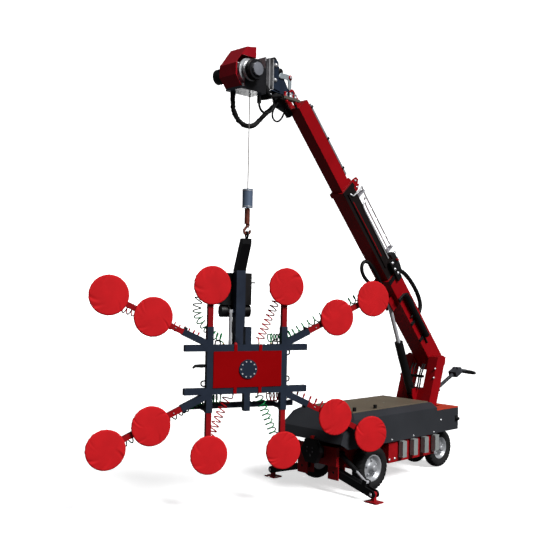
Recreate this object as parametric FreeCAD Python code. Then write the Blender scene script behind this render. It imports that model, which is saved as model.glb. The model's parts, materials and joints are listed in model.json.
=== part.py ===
import FreeCAD, Part
import math
import os

# Compact tiller-steered carrier with a telescopic boom, a winch and a vacuum frame of twelve
# cups for glass panels. Millimetres, z up, the boom points to -y. The plan is measured from
# the hanging rope and heights from the ground; the end of the file moves the whole part so
# that its origin is the middle of its box, at the ground.

# Clearances, and the overrun of cuts
overrun = 40.0
slide_gap = 0.5
turn_gap = 0.05
side_gap = 2.0
seat_gap = 0.3

# Wheels
front_axle_y = 1260.0
tyre_side_gap = 0.5
front_tyre_radius = 205.0
front_tyre_width = 105.0
front_rim_radius = 122.0
rear_axle_y = 2584.0
rear_wheel_x = 137.0
rear_tyre_radius = 193.0
rear_tyre_width = 95.0
rear_rim_radius = 108.0
tyre_shoulder = 24.0
rim_wall = 7.0
rim_inset = 12.0
rim_dish = 34.0
hub_radius = 38.0
axle_radius = 20.0
axle_end = 14.0

# Chassis
chassis_inset = 26.0
chassis_front_y = 890.0
chassis_step_y = 1500.0
chassis_rear_y = 2218.0
nose_wheel_gap = 20.5
chassis_bottom_z = 212.0
chassis_wall = 12.0
front_beam_half_length = 45.0
front_beam_depth = 80.0
tail_half_width = 205.0
tail_end_y = 2625.0

# Body cover, deck lid and rear housing
body_half_width = 371.0
body_bottom_z = 411.0
body_shoulder_z = 661.0
deck_z = 705.0
deck_chamfer = 71.0
body_rear_y = 2226.0
hood_top_y = 1036.0
hood_low_y = 830.0
hood_low_z = 555.0
nose_y = 800.0
nose_z = 470.0
nose_under_y = 905.0
cover_wall = 4.0
arch_gap = 28.0
lid_margin = 24.0
lid_thickness = 8.0
knob_radius = 17.0
knob_height = 34.0
knob_first_y = 1110.0
knob_second_y = 1403.0
knob_inset = 45.0
housing_inset = 16.0
housing_end_y = 2621.0
housing_top_z = 629.0
housing_wall = 5.0
notch_half_width = 222.0
notch_end_y = 2505.0
rear_lid_thickness = 10.0
battery_half_width = 225.0
battery_length = 560.0
battery_height = 240.0

# Ballast bars on both flanks
bar_count = 4
bar_first_y = 1667.0
bar_pitch = 173.0
bar_width = 62.0
bar_top_z = 404.0
bar_height = 150.0
bar_thickness = 46.0
bar_stub = 14.0

# Control box and stop button
control_x = 62.0
control_front_y = 748.0
control_z = 378.0
control_radius = 118.0
control_arm_half = 36.0
button_radius = 20.0
button_height = 18.0
button_stem_radius = 9.0
button_travel = 6.0

# Steering bogie and tiller
kingpin_radius = 24.0
bogie_half_width = 78.0
bogie_half_length = 60.0
bogie_top_gap = 6.0
riser_y = 2702.0
riser_half_width = 24.0
riser_half_depth = 18.0
tiller_pivot_z = 745.0
tiller_pin_radius = 10.0
tiller_angle = 24.0
tiller_length = 500.0
tiller_radius = 19.0
tiller_fork = 14.0
grip_width = 190.0
grip_reach = 270.0
grip_radius = 14.0
grip_drop_angle = 36.0
tiller_head_length = 120.0
tiller_head_half_width = 48.0
tiller_head_depth = 62.0

# Stabilizers
leg_y = 962.0
leg_inset = 55.0
leg_hinge_z = 186.0
leg_reach = 420.0
leg_ankle_z = 72.0
leg_half_depth = 34.0
leg_half_height = 32.0
leg_pin_radius = 12.0
leg_ear = 12.0
foot_length = 130.0
foot_width = 106.0
foot_plate = 12.0
foot_ear_half_width = 34.0
leg_ram_inset = 13.0
leg_ram_z = 352.0
leg_ram_radius = 22.0
leg_rod_radius = 11.0
leg_eye_radius = 19.0
leg_eye_reach = 330.0
leg_eye_rise = 58.0

# Column and lift cylinder
column_inner_x = 96.0
column_outer_x = 205.0
column_depth = 140.0
column_foot_y = 2240.0
column_top_y = 2468.0
column_top_z = 1128.0
column_wall = 10.0
column_boss_radius = 58.0
pivot_pin_radius = 26.0
pivot_z = 1085.0
pivot_y = 2545.0
web_low_z = 600.0
web_high_z = 815.0
web_depth = 30.0
ram_foot_y = 2300.0
ram_foot_z = 770.0
ram_radius = 42.0
ram_rod_radius = 20.0
ram_eye_radius = 34.0
ram_pin_radius = 16.0
ram_half_width = 28.0
ram_barrel_length = 560.0
ram_bore_wall = 8.0
ram_lug_thickness = 14.0

# Boom sections, lengths counted from the pivot along the boom
boom_elevation = 48.5
boom_axis_rise = 55.0
base_half_width = 90.0
base_half_depth = 95.0
base_wall = 8.0
base_tail = 110.0
base_end = 1102.0
mid_half_width = 75.0
mid_half_depth = 80.0
mid_wall = 6.0
mid_tail = 602.0
mid_end = 2144.0
inner_half_width = 62.0
inner_half_depth = 67.0
inner_wall = 6.0
inner_tail = 1694.0
inner_end = 3042.0
collar_length = 44.0
collar_proud = 9.0
ram_lug_along = 855.0
ram_lug_drop = 145.0
side_ram_start = 300.0
side_ram_end = 850.0
side_ram_radius = 30.0
side_cover_thickness = 10.0
telescope_back = 120.0

# Winch head
head_along = 3178.0
head_drop = 48.0
head_pin_radius = 16.0
head_lug_thickness = 12.0
head_half_width = 37.0
head_lug_radius = 34.0
plate_first_y = 96.0
plate_last_y = 196.0
plate_half_width = 78.0
plate_rise = 59.0
plate_height = 250.0
plate_count = 3
plate_thickness = 12.0
drum_y = -90.0
drum_rise = 154.0
drum_radius = 84.0
drum_flange_radius = 104.0
drum_half_width = 82.0
drum_flange_thickness = 8.0
drum_shaft_radius = 18.0
motor_radius = 80.0
motor_length = 84.0
motor_cap_radius = 52.0
motor_cap_length = 20.0
gearbox_radius = 62.0
gearbox_length = 76.0
winch_cheek = 10.0
tray_z = 3396.0
tray_thickness = 20.0
tray_front_y = -180.0
hood_wall = 3.0
hood_half_width = 100.0
hood_front_y = -246.0
hood_height = 342.0
hood_back_lift = 16.0
hood_side_height = 74.0
hood_band = 14.0
hood_peak_y = -130.0
hood_back_y = -28.0
hood_brow_rise = 192.0
hood_chin_rise = 97.0
hose_radius = 19.0
hose_x = -64.0
hose_port_along = 3163.0
hose_port_drop = 165.0
hose_straight = 62.0
hose_plate_start = 2990.0
hose_plate_depth = 44.0

# Rope and hook
rope_radius = 4.0
weight_radius = 43.0
weight_top_z = 2608.0
weight_bottom_z = 2452.0
swivel_radius = 11.0
hook_bowl_radius = 25.0
hook_wire_radius = 11.0
hook_bowl_z = 2262.0
hook_rest_gap = 0.5
hook_back_angle = 140
hook_tip_angle = 380
hook_knee_radius = 13.0
hook_collar_rise = 59.0
latch_drop = 15.0
latch_radius = 2.0
latch_x = 16.0
latch_length = 30.0
latch_lug_thickness = 4.0
latch_lug_gap = 4.0
latch_lug_half_width = 5.0

# Vacuum frame, built square to the rope and then turned; heights count from its hub
flank_gap = 40.7
hub_z = 1140.0
frame_y = -58.0
tube_size = 52.0
tube_wall = 4.0
upright_x = 322.0
upright_reach = 342.0
rail_z = 172.0
rail_reach = 530.0
stub_reach = 340.0
arm_wall = 4.0
fan_angle = 25.2
fan_rise = 197.0
fan_mouth = 250.0
fan_bore_start = 48.0
fan_tail = 155.0
fan_inner_cup = 525.0
fan_outer_cup = 908.0
post_tail = 200.0
post_cup = 673.0
arm_end = 26.0
cover_radius = 155.0
cover_depth = 27.0
cover_rim = 9.0
cover_crown = 3.0
stem_radius = 15.0
stem_length = 8.0
panel_half_width = 295.0
panel_half_height = 145.0
panel_thickness = 6.0
tab_x = 108.0
tab_half_width = 13.0
hub_plate_radius = 78.0
hub_plate_thickness = 8.0
bolt_count = 10
bolt_circle = 63.0
bolt_radius = 6.0
bolt_height = 5.0
hub_shaft_radius = 20.0
hub_shaft_length = 46.0
hub_block_half = 28.0
tilt_y = 72.0
tilt_pin_radius = 14.0
mast_y = 150.0
mast_half_width = 40.0
mast_half_depth = 45.0
mast_wall = 6.0
mast_foot = 52.0
mast_bend = 800.0
mast_top = 1062.0
mast_ear = 14.0
eye_ring_radius = 26.0
eye_wire_radius = 8.0
actuator_x = 72.0
actuator_radius = 13.0
actuator_low = 90.0
actuator_high = 460.0
unit_half_width = 130.0
unit_depth = 130.0
unit_low = 510.0
unit_high = 780.0
tank_radius = 52.0
rear_bar_y = 96.0
rear_bar_drop = 312.0
rear_bar_reach = 480.0
rear_bar_size = 44.0

# Coil hoses: shares along the fan count to its outer cup, and shares aside count in coil radii
# from the arm, outward from the frame's middle
coil_radius = 32.0
coil_tube_radius = 4.0
coil_y = 12.0
coil_exit_back = 12.0
coil_bend = 14.0
post_coil_start_x = 138.0
post_coil_start_z = 232.0
post_coil_end_inset = 41.0
post_coil_end_drop = 115.0
post_coil_turns = 8
fan_coil_start_x = 215.0
fan_coil_start_z = 246.0
fan_coil_turns = 20
short_fan_turns = 17
fan_coil_shares = (0.13, 0.36, 0.66, 0.91)
short_fan_shares = (0.13, 0.36, 0.58, 0.78)
outward_shares = (0.9, 1.3, 1.4, 1.4)
inward_shares = (-0.6, -1.4, -1.4, -1.4)
crossing_shares = (0.085, 0.36, 0.66, 0.91)
crossing_aside_shares = (0.8, 0.4, -0.6, -1.4)
crossing_fan_turns = 17
crossing_post_turns = 11
crossing_post_x_shares = (0.59, 0.82, 1.05, 1.24, 1.27, 1.13)
crossing_post_z_shares = (0.365, 0.4, 0.5, 0.62, 0.77, 0.95)

# Places that follow from these sizes
front_wheel_x = body_half_width - tyre_side_gap - front_tyre_width / 2
chassis_nose_half_width = front_wheel_x - front_tyre_width / 2 - nose_wheel_gap
chassis_half_width = body_half_width - chassis_inset
housing_half_width = body_half_width - housing_inset
deck_half_width = body_half_width - deck_chamfer
knob_x = deck_half_width - knob_inset
leg_hinge_x = chassis_nose_half_width - leg_inset
leg_ankle_x = leg_hinge_x + leg_reach
leg_ram_x = chassis_nose_half_width - leg_ram_inset
leg_eye_x = leg_hinge_x + leg_eye_reach
plate_low_z = tray_z + plate_rise
plate_high_z = plate_low_z + plate_height
drum_z = tray_z + drum_rise
hood_peak_z = tray_z + hood_height
hood_brow_z = tray_z + hood_brow_rise
hood_chin_z = tray_z + hood_chin_rise
fan_reach = upright_x + fan_outer_cup * math.cos(math.radians(fan_angle))
frame_turn = math.degrees(math.acos((body_half_width + flank_gap) / fan_reach))

shapes = {}


def vec(x, y, z):
    return FreeCAD.Vector(x, y, z)


def block(x0, x1, y0, y1, z0, z1):
    return Part.makeBox(x1 - x0, y1 - y0, z1 - z0, vec(x0, y0, z0))


def bar(start, end, radius):
    run = end.sub(start)
    return Part.makeCylinder(radius, run.Length, start, run)


def across(x0, x1, y, z, radius):
    return bar(vec(x0, y, z), vec(x1, y, z), radius)


def prism(corners, push):
    face = Part.Face(Part.makePolygon(corners + corners[:1]))
    return face.extrude(push)


def prism_x(outline, x0, x1):
    return prism([vec(x0, y, z) for y, z in outline], vec(x1 - x0, 0, 0))


def prism_y(outline, y0, y1):
    return prism([vec(x, y0, z) for x, z in outline], vec(0, y1 - y0, 0))


def join(pieces):
    return pieces[0].multiFuse(pieces[1:]).removeSplitter()


def group(pieces):
    return Part.makeCompound(pieces)


def flip(shape):
    return shape.mirror(vec(0, 0, 0), vec(1, 0, 0))


def both(shape):
    return [shape, flip(shape)]


def crown_edges(shape, radius):
    return [e for e in shape.Edges if isinstance(e.Curve, Part.Circle) and e.Curve.Radius == radius]


# A tube along straight runs joined by tangent arcs
def cord_tube(points, radius):
    runs = [b.sub(a) for a, b in zip(points, points[1:])]
    edges = []
    last = points[0]
    for corner, before, after in zip(points[1:-1], runs, runs[1:]):
        half_turn = before.getAngle(after) / 2
        reach_share = 0.45
        reach = reach_share * min(before.Length, after.Length)
        bend_radius = reach / math.tan(half_turn)
        enter = corner - before.normalize() * reach
        leave = corner + vec(after.x, after.y, after.z).normalize() * reach
        bisector = (enter + leave) * 0.5 - corner
        to_centre = bend_radius / math.cos(half_turn)
        middle = corner + bisector.normalize() * (to_centre - bend_radius)
        edges.append(Part.LineSegment(last, enter).toShape())
        edges.append(Part.Arc(enter, middle, leave).toShape())
        last = leave
    edges.append(Part.LineSegment(last, points[-1]).toShape())
    path = Part.Wire(edges)
    section = Part.Wire(Part.makeCircle(radius, points[0], points[1].sub(points[0])))
    return path.makePipeShell([section], True, False)


# Wheels: a tyre and a dished rim that turns on a fixed axle
def wheel(side, x, y, radius, width, rim_radius):
    axis = vec(side, 0, 0)
    inner = vec(side * (x - width / 2), y, radius)
    carcass = Part.makeCylinder(radius, width, inner, axis)
    carcass = carcass.cut(Part.makeCylinder(rim_radius, width, inner, axis))
    tyre = carcass.makeFillet(tyre_shoulder, crown_edges(carcass, radius))
    rim_width = width - 2 * rim_inset
    rim_start = inner + axis * rim_inset
    rim = Part.makeCylinder(rim_radius, rim_width, rim_start, axis)
    well = rim_radius - rim_wall
    dish_start = rim_start + axis * (rim_width - rim_dish)
    rim = rim.cut(Part.makeCylinder(well, rim_dish, dish_start, axis))
    back_depth = rim_width - rim_dish - rim_wall
    rim = rim.cut(Part.makeCylinder(well, back_depth, rim_start, axis))
    rim = rim.fuse(Part.makeCylinder(hub_radius, rim_width, rim_start, axis)).removeSplitter()
    bore_start = inner - axis * overrun
    rim = rim.cut(Part.makeCylinder(axle_radius + turn_gap, width + 2 * overrun, bore_start, axis))
    return group([tyre, rim])


for side, hand in ((1, "left"), (-1, "right")):
    shapes["front_" + hand + "_wheel"] = wheel(
        side, front_wheel_x, front_axle_y, front_tyre_radius, front_tyre_width, front_rim_radius)
    shapes["rear_" + hand + "_wheel"] = wheel(
        side, rear_wheel_x, rear_axle_y, rear_tyre_radius, rear_tyre_width, rear_rim_radius)

# Chassis: a red channel, narrow between the front wheels, with the front axle beam below and a
# tail plate behind that carries the column, the rear housing and the kingpin
nose_floor_z = front_tyre_radius + front_beam_depth / 2
wide = block(-chassis_half_width, chassis_half_width, chassis_step_y, chassis_rear_y,
             chassis_bottom_z, body_bottom_z)
wide = wide.cut(block(-chassis_half_width + chassis_wall, chassis_half_width - chassis_wall,
                      chassis_step_y + chassis_wall, chassis_rear_y - chassis_wall,
                      chassis_bottom_z + chassis_wall, body_bottom_z + overrun))
narrow = block(-chassis_nose_half_width, chassis_nose_half_width, chassis_front_y,
               chassis_step_y, nose_floor_z, body_bottom_z)
narrow = narrow.cut(block(-chassis_nose_half_width + chassis_wall, chassis_nose_half_width - chassis_wall,
                          chassis_front_y + chassis_wall, chassis_step_y - chassis_wall,
                          nose_floor_z + chassis_wall, body_bottom_z + overrun))
front_beam = block(-chassis_nose_half_width, chassis_nose_half_width,
                   front_axle_y - front_beam_half_length, front_axle_y + front_beam_half_length,
                   front_tyre_radius - front_beam_depth / 2, nose_floor_z)
front_axle_reach = front_wheel_x + front_tyre_width / 2 - rim_inset + axle_end
front_axle = across(-front_axle_reach, front_axle_reach, front_axle_y, front_tyre_radius, axle_radius)
tail = block(-tail_half_width, tail_half_width, chassis_rear_y - chassis_wall, tail_end_y,
             body_bottom_z - chassis_wall, body_bottom_z)
tail = tail.cut(bar(vec(0, rear_axle_y, body_bottom_z - chassis_wall - overrun),
                    vec(0, rear_axle_y, body_bottom_z + overrun), kingpin_radius + turn_gap))
leg_bracket_half = leg_half_depth + side_gap + leg_ear
leg_ear_low_z = leg_hinge_z - 2 * leg_half_height
leg_pieces = []
for y0 in (leg_y - leg_bracket_half, leg_y + leg_half_depth + side_gap):
    ear = block(leg_hinge_x - 2 * leg_half_height, chassis_nose_half_width, y0, y0 + leg_ear,
                leg_ear_low_z, body_bottom_z - chassis_wall)
    leg_pieces += both(ear)
leg_slot = block(leg_hinge_x - 2 * leg_half_height, chassis_nose_half_width + overrun,
                 leg_y - leg_half_depth - side_gap, leg_y + leg_half_depth + side_gap,
                 leg_ear_low_z, leg_ram_z + leg_ram_radius + overrun)
chassis = join([wide, narrow, front_beam, front_axle, tail] + leg_pieces)
pin_reach_y = leg_bracket_half + seat_gap
cuts = both(leg_slot)
for pin_x, pin_z in ((leg_hinge_x, leg_hinge_z), (leg_ram_x, leg_ram_z)):
    cuts += both(bar(vec(pin_x, leg_y - pin_reach_y, pin_z), vec(pin_x, leg_y + pin_reach_y, pin_z),
                     leg_pin_radius + turn_gap))
for tool in cuts:
    chassis = chassis.cut(tool)
shapes["chassis_frame"] = chassis

# Ballast bars: steel blocks on short stubs, on both flanks
bars = []
for index in range(bar_count):
    centre_y = bar_first_y + index * bar_pitch
    weight = block(chassis_half_width + bar_stub, chassis_half_width + bar_stub + bar_thickness,
                   centre_y - bar_width / 2, centre_y + bar_width / 2, bar_top_z - bar_height, bar_top_z)
    stub = block(chassis_half_width, chassis_half_width + bar_stub,
                 centre_y - bar_width / 4, centre_y + bar_width / 4,
                 bar_top_z - bar_height / 2, bar_top_z - bar_height / 4)
    bars += both(join([weight, stub]))
shapes["ballast_bars"] = group(bars)

# Body cover: a folded sheet shell, chamfered along the deck and sloping to the nose
def cover_solid(inset, floor_z):
    section = [(-body_half_width + inset, floor_z), (body_half_width - inset, floor_z),
               (body_half_width - inset, body_shoulder_z), (deck_half_width, deck_z - inset),
               (-deck_half_width, deck_z - inset), (-body_half_width + inset, body_shoulder_z)]
    profile = [(hood_top_y + inset, deck_z - inset), (hood_low_y + inset, hood_low_z - inset),
               (nose_y + inset, nose_z), (nose_under_y + inset, floor_z),
               (body_rear_y - inset, floor_z), (body_rear_y - inset, deck_z - inset)]
    long_section = prism_y(section, nose_y - overrun, body_rear_y + overrun)
    return long_section.common(prism_x(profile, -body_half_width - overrun, body_half_width + overrun))


cover = cover_solid(0, body_bottom_z).cut(cover_solid(cover_wall, body_bottom_z - overrun))
arch_radius = front_tyre_radius + arch_gap
arch_inner_x = front_wheel_x - front_tyre_width / 2 - arch_gap
arch = across(arch_inner_x, body_half_width + overrun, front_axle_y, front_tyre_radius, arch_radius)
for tool in both(arch):
    cover = cover.cut(tool)
shapes["body_cover"] = cover

lid = block(-deck_half_width + lid_margin, deck_half_width - lid_margin, hood_top_y + lid_margin,
            body_rear_y - lid_margin, deck_z, deck_z + lid_thickness)
knobs = []
for knob_y in (knob_first_y, knob_second_y):
    foot = vec(knob_x, knob_y, deck_z + lid_thickness)
    knobs.append(bar(foot, foot + vec(0, 0, knob_height), knob_radius))
shapes["deck_lid"] = group([lid] + knobs)

battery_y = (chassis_step_y + chassis_rear_y) / 2
shapes["battery_pack"] = block(
    -battery_half_width, battery_half_width, battery_y - battery_length / 2, battery_y + battery_length / 2,
    chassis_bottom_z + chassis_wall, chassis_bottom_z + chassis_wall + battery_height)

# Rear housing with its notch for the column, and the lid hinged at its rear edge
housing = block(-housing_half_width, housing_half_width, body_rear_y, housing_end_y,
                body_bottom_z, housing_top_z)
housing = housing.cut(block(-housing_half_width + housing_wall, housing_half_width - housing_wall,
                            body_rear_y + housing_wall, housing_end_y - housing_wall,
                            body_bottom_z + housing_wall, housing_top_z + overrun))
notch_walls = block(-notch_half_width - housing_wall, notch_half_width + housing_wall,
                    body_rear_y, notch_end_y + housing_wall, body_bottom_z, housing_top_z)
housing = join([housing, notch_walls])
notch = block(-notch_half_width, notch_half_width, body_rear_y - overrun, notch_end_y,
              body_bottom_z - overrun, housing_top_z + overrun)
housing = housing.cut(notch)
kingpin_well = bar(vec(0, rear_axle_y, body_bottom_z - overrun),
                   vec(0, rear_axle_y, body_bottom_z + 2 * kingpin_radius), kingpin_radius + side_gap)
housing = housing.cut(kingpin_well)
shapes["rear_housing"] = housing

lid_low_z = housing_top_z + seat_gap
rear_lid = block(-housing_half_width, housing_half_width, body_rear_y + side_gap,
                 housing_end_y, lid_low_z, lid_low_z + rear_lid_thickness)
lid_hinge = vec(0, housing_end_y, lid_low_z + rear_lid_thickness / 2)
rolled_edge = across(-housing_half_width, housing_half_width, lid_hinge.y, lid_hinge.z, rear_lid_thickness / 2)
shapes["rear_lid"] = join([rear_lid.cut(notch), rolled_edge])

# Control box on an arm from the front plate, with the stop button on top
control_outline = []
for corner in range(6):
    turn = math.radians(60 * corner)
    control_outline.append((control_x + control_radius * math.cos(turn),
                            control_z + control_radius * math.sin(turn)))
control_back_y = nose_y - 2 * side_gap
control = prism_y(control_outline, control_front_y, control_back_y)
control_arm = block(control_x - control_arm_half, control_x + control_arm_half, control_back_y, chassis_front_y,
                    control_z - 2 * control_arm_half, body_bottom_z - chassis_wall)
control = join([control, control_arm])
button_y = (control_front_y + control_back_y) / 2
button_z = control_z + control_radius * math.sin(math.radians(60))
button_seat = vec(control_x, button_y, button_z)
well_depth = button_height + button_travel
control = control.cut(bar(button_seat - vec(0, 0, well_depth + button_travel),
                          button_seat + vec(0, 0, overrun), button_stem_radius + turn_gap))
shapes["control_box"] = control
cap_low = button_seat + vec(0, 0, button_travel + side_gap)
button_cap = bar(cap_low, cap_low + vec(0, 0, button_height), button_radius)
button_stem = bar(button_seat - vec(0, 0, well_depth), cap_low, button_stem_radius)
shapes["stop_button"] = join([button_cap, button_stem])

# Steering bogie: kingpin, cross block, rear axle and the riser that carries the tiller
bogie_top_z = body_bottom_z - chassis_wall - bogie_top_gap
bogie_block = block(-bogie_half_width, bogie_half_width, rear_axle_y - bogie_half_length,
                    rear_axle_y + bogie_half_length, rear_tyre_radius - axle_radius, bogie_top_z)
kingpin = bar(vec(0, rear_axle_y, bogie_top_z), vec(0, rear_axle_y, body_bottom_z + kingpin_radius),
              kingpin_radius)
thrust_ring = bar(vec(0, rear_axle_y, bogie_top_z),
                  vec(0, rear_axle_y, body_bottom_z - chassis_wall - slide_gap), 2 * kingpin_radius)
rear_axle_reach = rear_wheel_x + rear_tyre_width / 2 - rim_inset + axle_end
rear_axle = across(-rear_axle_reach, rear_axle_reach, rear_axle_y, rear_tyre_radius, axle_radius)
riser_foot_z = bogie_top_z - 2 * riser_half_depth
riser_top_z = tiller_pivot_z + 2 * tiller_pin_radius
riser_foot = block(-riser_half_width, riser_half_width, rear_axle_y, riser_y + riser_half_depth,
                   riser_foot_z - 2 * riser_half_depth, riser_foot_z)
riser = block(-riser_half_width, riser_half_width, riser_y - riser_half_depth, riser_y + riser_half_depth,
              riser_foot_z, riser_top_z)
riser = riser.cut(across(-overrun, overrun, riser_y, tiller_pivot_z, tiller_pin_radius + turn_gap))
shapes["steer_bogie"] = join([bogie_block, kingpin, thrust_ring, rear_axle, riser_foot, riser])

# Tiller: fork, arm, head and loop grip, built level and raised about its pin
tiller_pivot = vec(0, riser_y, tiller_pivot_z)
fork_inner = riser_half_width + side_gap
fork_reach = riser_y + riser_half_depth + overrun
cheek = block(fork_inner, fork_inner + tiller_fork, riser_y - riser_half_depth, fork_reach,
              tiller_pivot_z - 2 * tiller_pin_radius, tiller_pivot_z + 2 * tiller_pin_radius)
fork_bridge = block(-fork_inner - tiller_fork, fork_inner + tiller_fork, fork_reach - tiller_fork,
                    fork_reach, tiller_pivot_z - 2 * tiller_pin_radius, tiller_pivot_z + 2 * tiller_pin_radius)
tiller_pin = across(-fork_inner - tiller_fork, fork_inner + tiller_fork, riser_y, tiller_pivot_z,
                    tiller_pin_radius)
head_start = riser_y + tiller_length - tiller_head_length
tiller_arm = bar(vec(0, fork_reach - tiller_fork, tiller_pivot_z), vec(0, head_start, tiller_pivot_z),
                 tiller_radius)
tiller_head = block(-tiller_head_half_width, tiller_head_half_width, head_start,
                    head_start + tiller_head_length, tiller_pivot_z - tiller_head_depth / 2,
                    tiller_pivot_z + tiller_head_depth / 2)
grip_y = head_start + tiller_head_length
grip_half = [vec(-tiller_head_half_width / 2, grip_y - tiller_head_depth, tiller_pivot_z),
             vec(-tiller_head_half_width / 2, grip_y + grip_radius, tiller_pivot_z),
             vec(-grip_width / 2, grip_y + grip_width / 2, tiller_pivot_z),
             vec(-grip_width / 2, grip_y + grip_reach - grip_width / 2, tiller_pivot_z),
             vec(-grip_width / 4, grip_y + grip_reach, tiller_pivot_z)]
grip = cord_tube(grip_half + [vec(-p.x, p.y, p.z) for p in reversed(grip_half)], grip_radius)
grip.rotate(vec(0, grip_y, tiller_pivot_z), vec(1, 0, 0), -grip_drop_angle)
tiller = join([cheek, flip(cheek), fork_bridge, tiller_pin, tiller_arm, tiller_head, grip])
tiller.rotate(tiller_pivot, vec(1, 0, 0), tiller_angle)
shapes["tiller"] = tiller

# Stabilizers: a folding leg, a swivelling foot and a cylinder with its rod, on both sides
leg_run = vec(leg_ankle_x - leg_hinge_x, 0, leg_ankle_z - leg_hinge_z)
leg_length = leg_run.Length
leg_tilt = math.degrees(math.atan2(leg_hinge_z - leg_ankle_z, leg_ankle_x - leg_hinge_x))
hinge = vec(leg_hinge_x, leg_y, leg_hinge_z)
leg_back = leg_y - leg_half_depth
leg_front = leg_y + leg_half_depth
ankle_gap = foot_ear_half_width / 2 + side_gap


def leg_level(x, y, z):
    return vec(leg_hinge_x + x, y, leg_hinge_z + z)


leg = block(leg_hinge_x, leg_hinge_x + leg_length, leg_back, leg_front,
            leg_hinge_z - leg_half_height, leg_hinge_z + leg_half_height)
leg = leg.fuse(bar(leg_level(0, leg_back, 0), leg_level(0, leg_front, 0), leg_half_height))
leg = leg.fuse(bar(leg_level(leg_length, leg_back, 0), leg_level(leg_length, leg_front, 0), leg_half_height))
leg = leg.fuse(bar(leg_level(0, leg_y - leg_bracket_half, 0), leg_level(0, leg_y + leg_bracket_half, 0),
                   leg_pin_radius))
foot_slot = block(leg_hinge_x + leg_length - 3 * leg_half_height, leg_hinge_x + leg_length + overrun,
                  leg_y - ankle_gap, leg_y + ankle_gap,
                  leg_hinge_z - leg_half_height - overrun, leg_hinge_z + leg_half_height + overrun)
leg = leg.cut(foot_slot)
eye_along = leg_eye_x - leg_hinge_x
lug_low = leg_half_height
lug_high = leg_eye_rise + leg_eye_radius
for y0 in (leg_back, leg_front - leg_ear):
    lug = block(leg_hinge_x + eye_along - leg_eye_radius, leg_hinge_x + eye_along + leg_eye_radius,
                y0, y0 + leg_ear, leg_hinge_z + lug_low, leg_hinge_z + lug_high)
    leg = leg.fuse(lug)
leg = leg.fuse(bar(leg_level(leg_length, leg_back, 0), leg_level(leg_length, leg_front, 0), leg_pin_radius))
leg = leg.removeSplitter()
leg.rotate(hinge, vec(0, 1, 0), leg_tilt)
eye_level = vec(leg_hinge_x + eye_along, leg_y, leg_hinge_z + leg_eye_rise)
eye_mark = Part.Vertex(eye_level)
eye_mark.rotate(hinge, vec(0, 1, 0), leg_tilt)
leg_eye = eye_mark.Point

foot = block(leg_ankle_x - foot_length / 2, leg_ankle_x + foot_length / 2,
             leg_y - foot_width / 2, leg_y + foot_width / 2, 0, foot_plate)
ankle_ear = block(leg_ankle_x - leg_half_height / 2, leg_ankle_x + leg_half_height / 2,
                  leg_y - foot_ear_half_width / 2, leg_y + foot_ear_half_width / 2, foot_plate, leg_ankle_z)
ankle_eye_share = 0.625
ankle_eye = bar(vec(leg_ankle_x, leg_y - foot_ear_half_width / 2, leg_ankle_z),
                vec(leg_ankle_x, leg_y + foot_ear_half_width / 2, leg_ankle_z), leg_half_height * ankle_eye_share)
foot = join([foot, ankle_ear, ankle_eye])
foot = foot.cut(bar(vec(leg_ankle_x, leg_back, leg_ankle_z), vec(leg_ankle_x, leg_front, leg_ankle_z),
                    leg_pin_radius + turn_gap))

ram_top = vec(leg_ram_x, leg_y, leg_ram_z)
leg_ram_run = leg_eye.sub(ram_top)
leg_ram_way = vec(leg_ram_run.x, 0, leg_ram_run.z).normalize()
barrel_end_share = 0.64
barrel_end = ram_top + leg_ram_run * barrel_end_share
leg_barrel = bar(ram_top + leg_ram_way * leg_eye_radius, barrel_end, leg_ram_radius)
leg_barrel = leg_barrel.fuse(bar(vec(leg_ram_x, leg_back, leg_ram_z), vec(leg_ram_x, leg_front, leg_ram_z),
                                 leg_ram_radius))
leg_barrel = leg_barrel.fuse(bar(vec(leg_ram_x, leg_y - leg_bracket_half, leg_ram_z),
                                 vec(leg_ram_x, leg_y + leg_bracket_half, leg_ram_z), leg_pin_radius))
rod_root = ram_top + leg_ram_way * (leg_eye_radius + leg_ram_radius)
leg_barrel = leg_barrel.cut(bar(rod_root, barrel_end + leg_ram_way * overrun, leg_rod_radius + slide_gap))
leg_barrel = leg_barrel.removeSplitter()
rod_start_share = 0.36
leg_rod = bar(ram_top + leg_ram_run * rod_start_share, leg_eye, leg_rod_radius)
rod_eye_share = 0.83
leg_rod_half = leg_half_depth - leg_ear - side_gap
leg_rod = leg_rod.fuse(bar(leg_eye - vec(0, leg_rod_half, 0), leg_eye + vec(0, leg_rod_half, 0),
                           leg_eye_radius * rod_eye_share)).removeSplitter()
for hand, place in (("left", lambda shape: shape), ("right", flip)):
    shapes["stabilizer_" + hand + "_leg"] = place(leg)
    shapes["stabilizer_" + hand + "_foot"] = place(foot)
    shapes["stabilizer_" + hand + "_barrel"] = place(leg_barrel)
    shapes["stabilizer_" + hand + "_rod"] = place(leg_rod)

# Column: two box posts leaning back, tied by a web that carries the foot of the lift cylinder
def column_y(z):
    share = (z - body_bottom_z) / (column_top_z - body_bottom_z)
    return column_foot_y + share * (column_top_y - column_foot_y)


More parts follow.
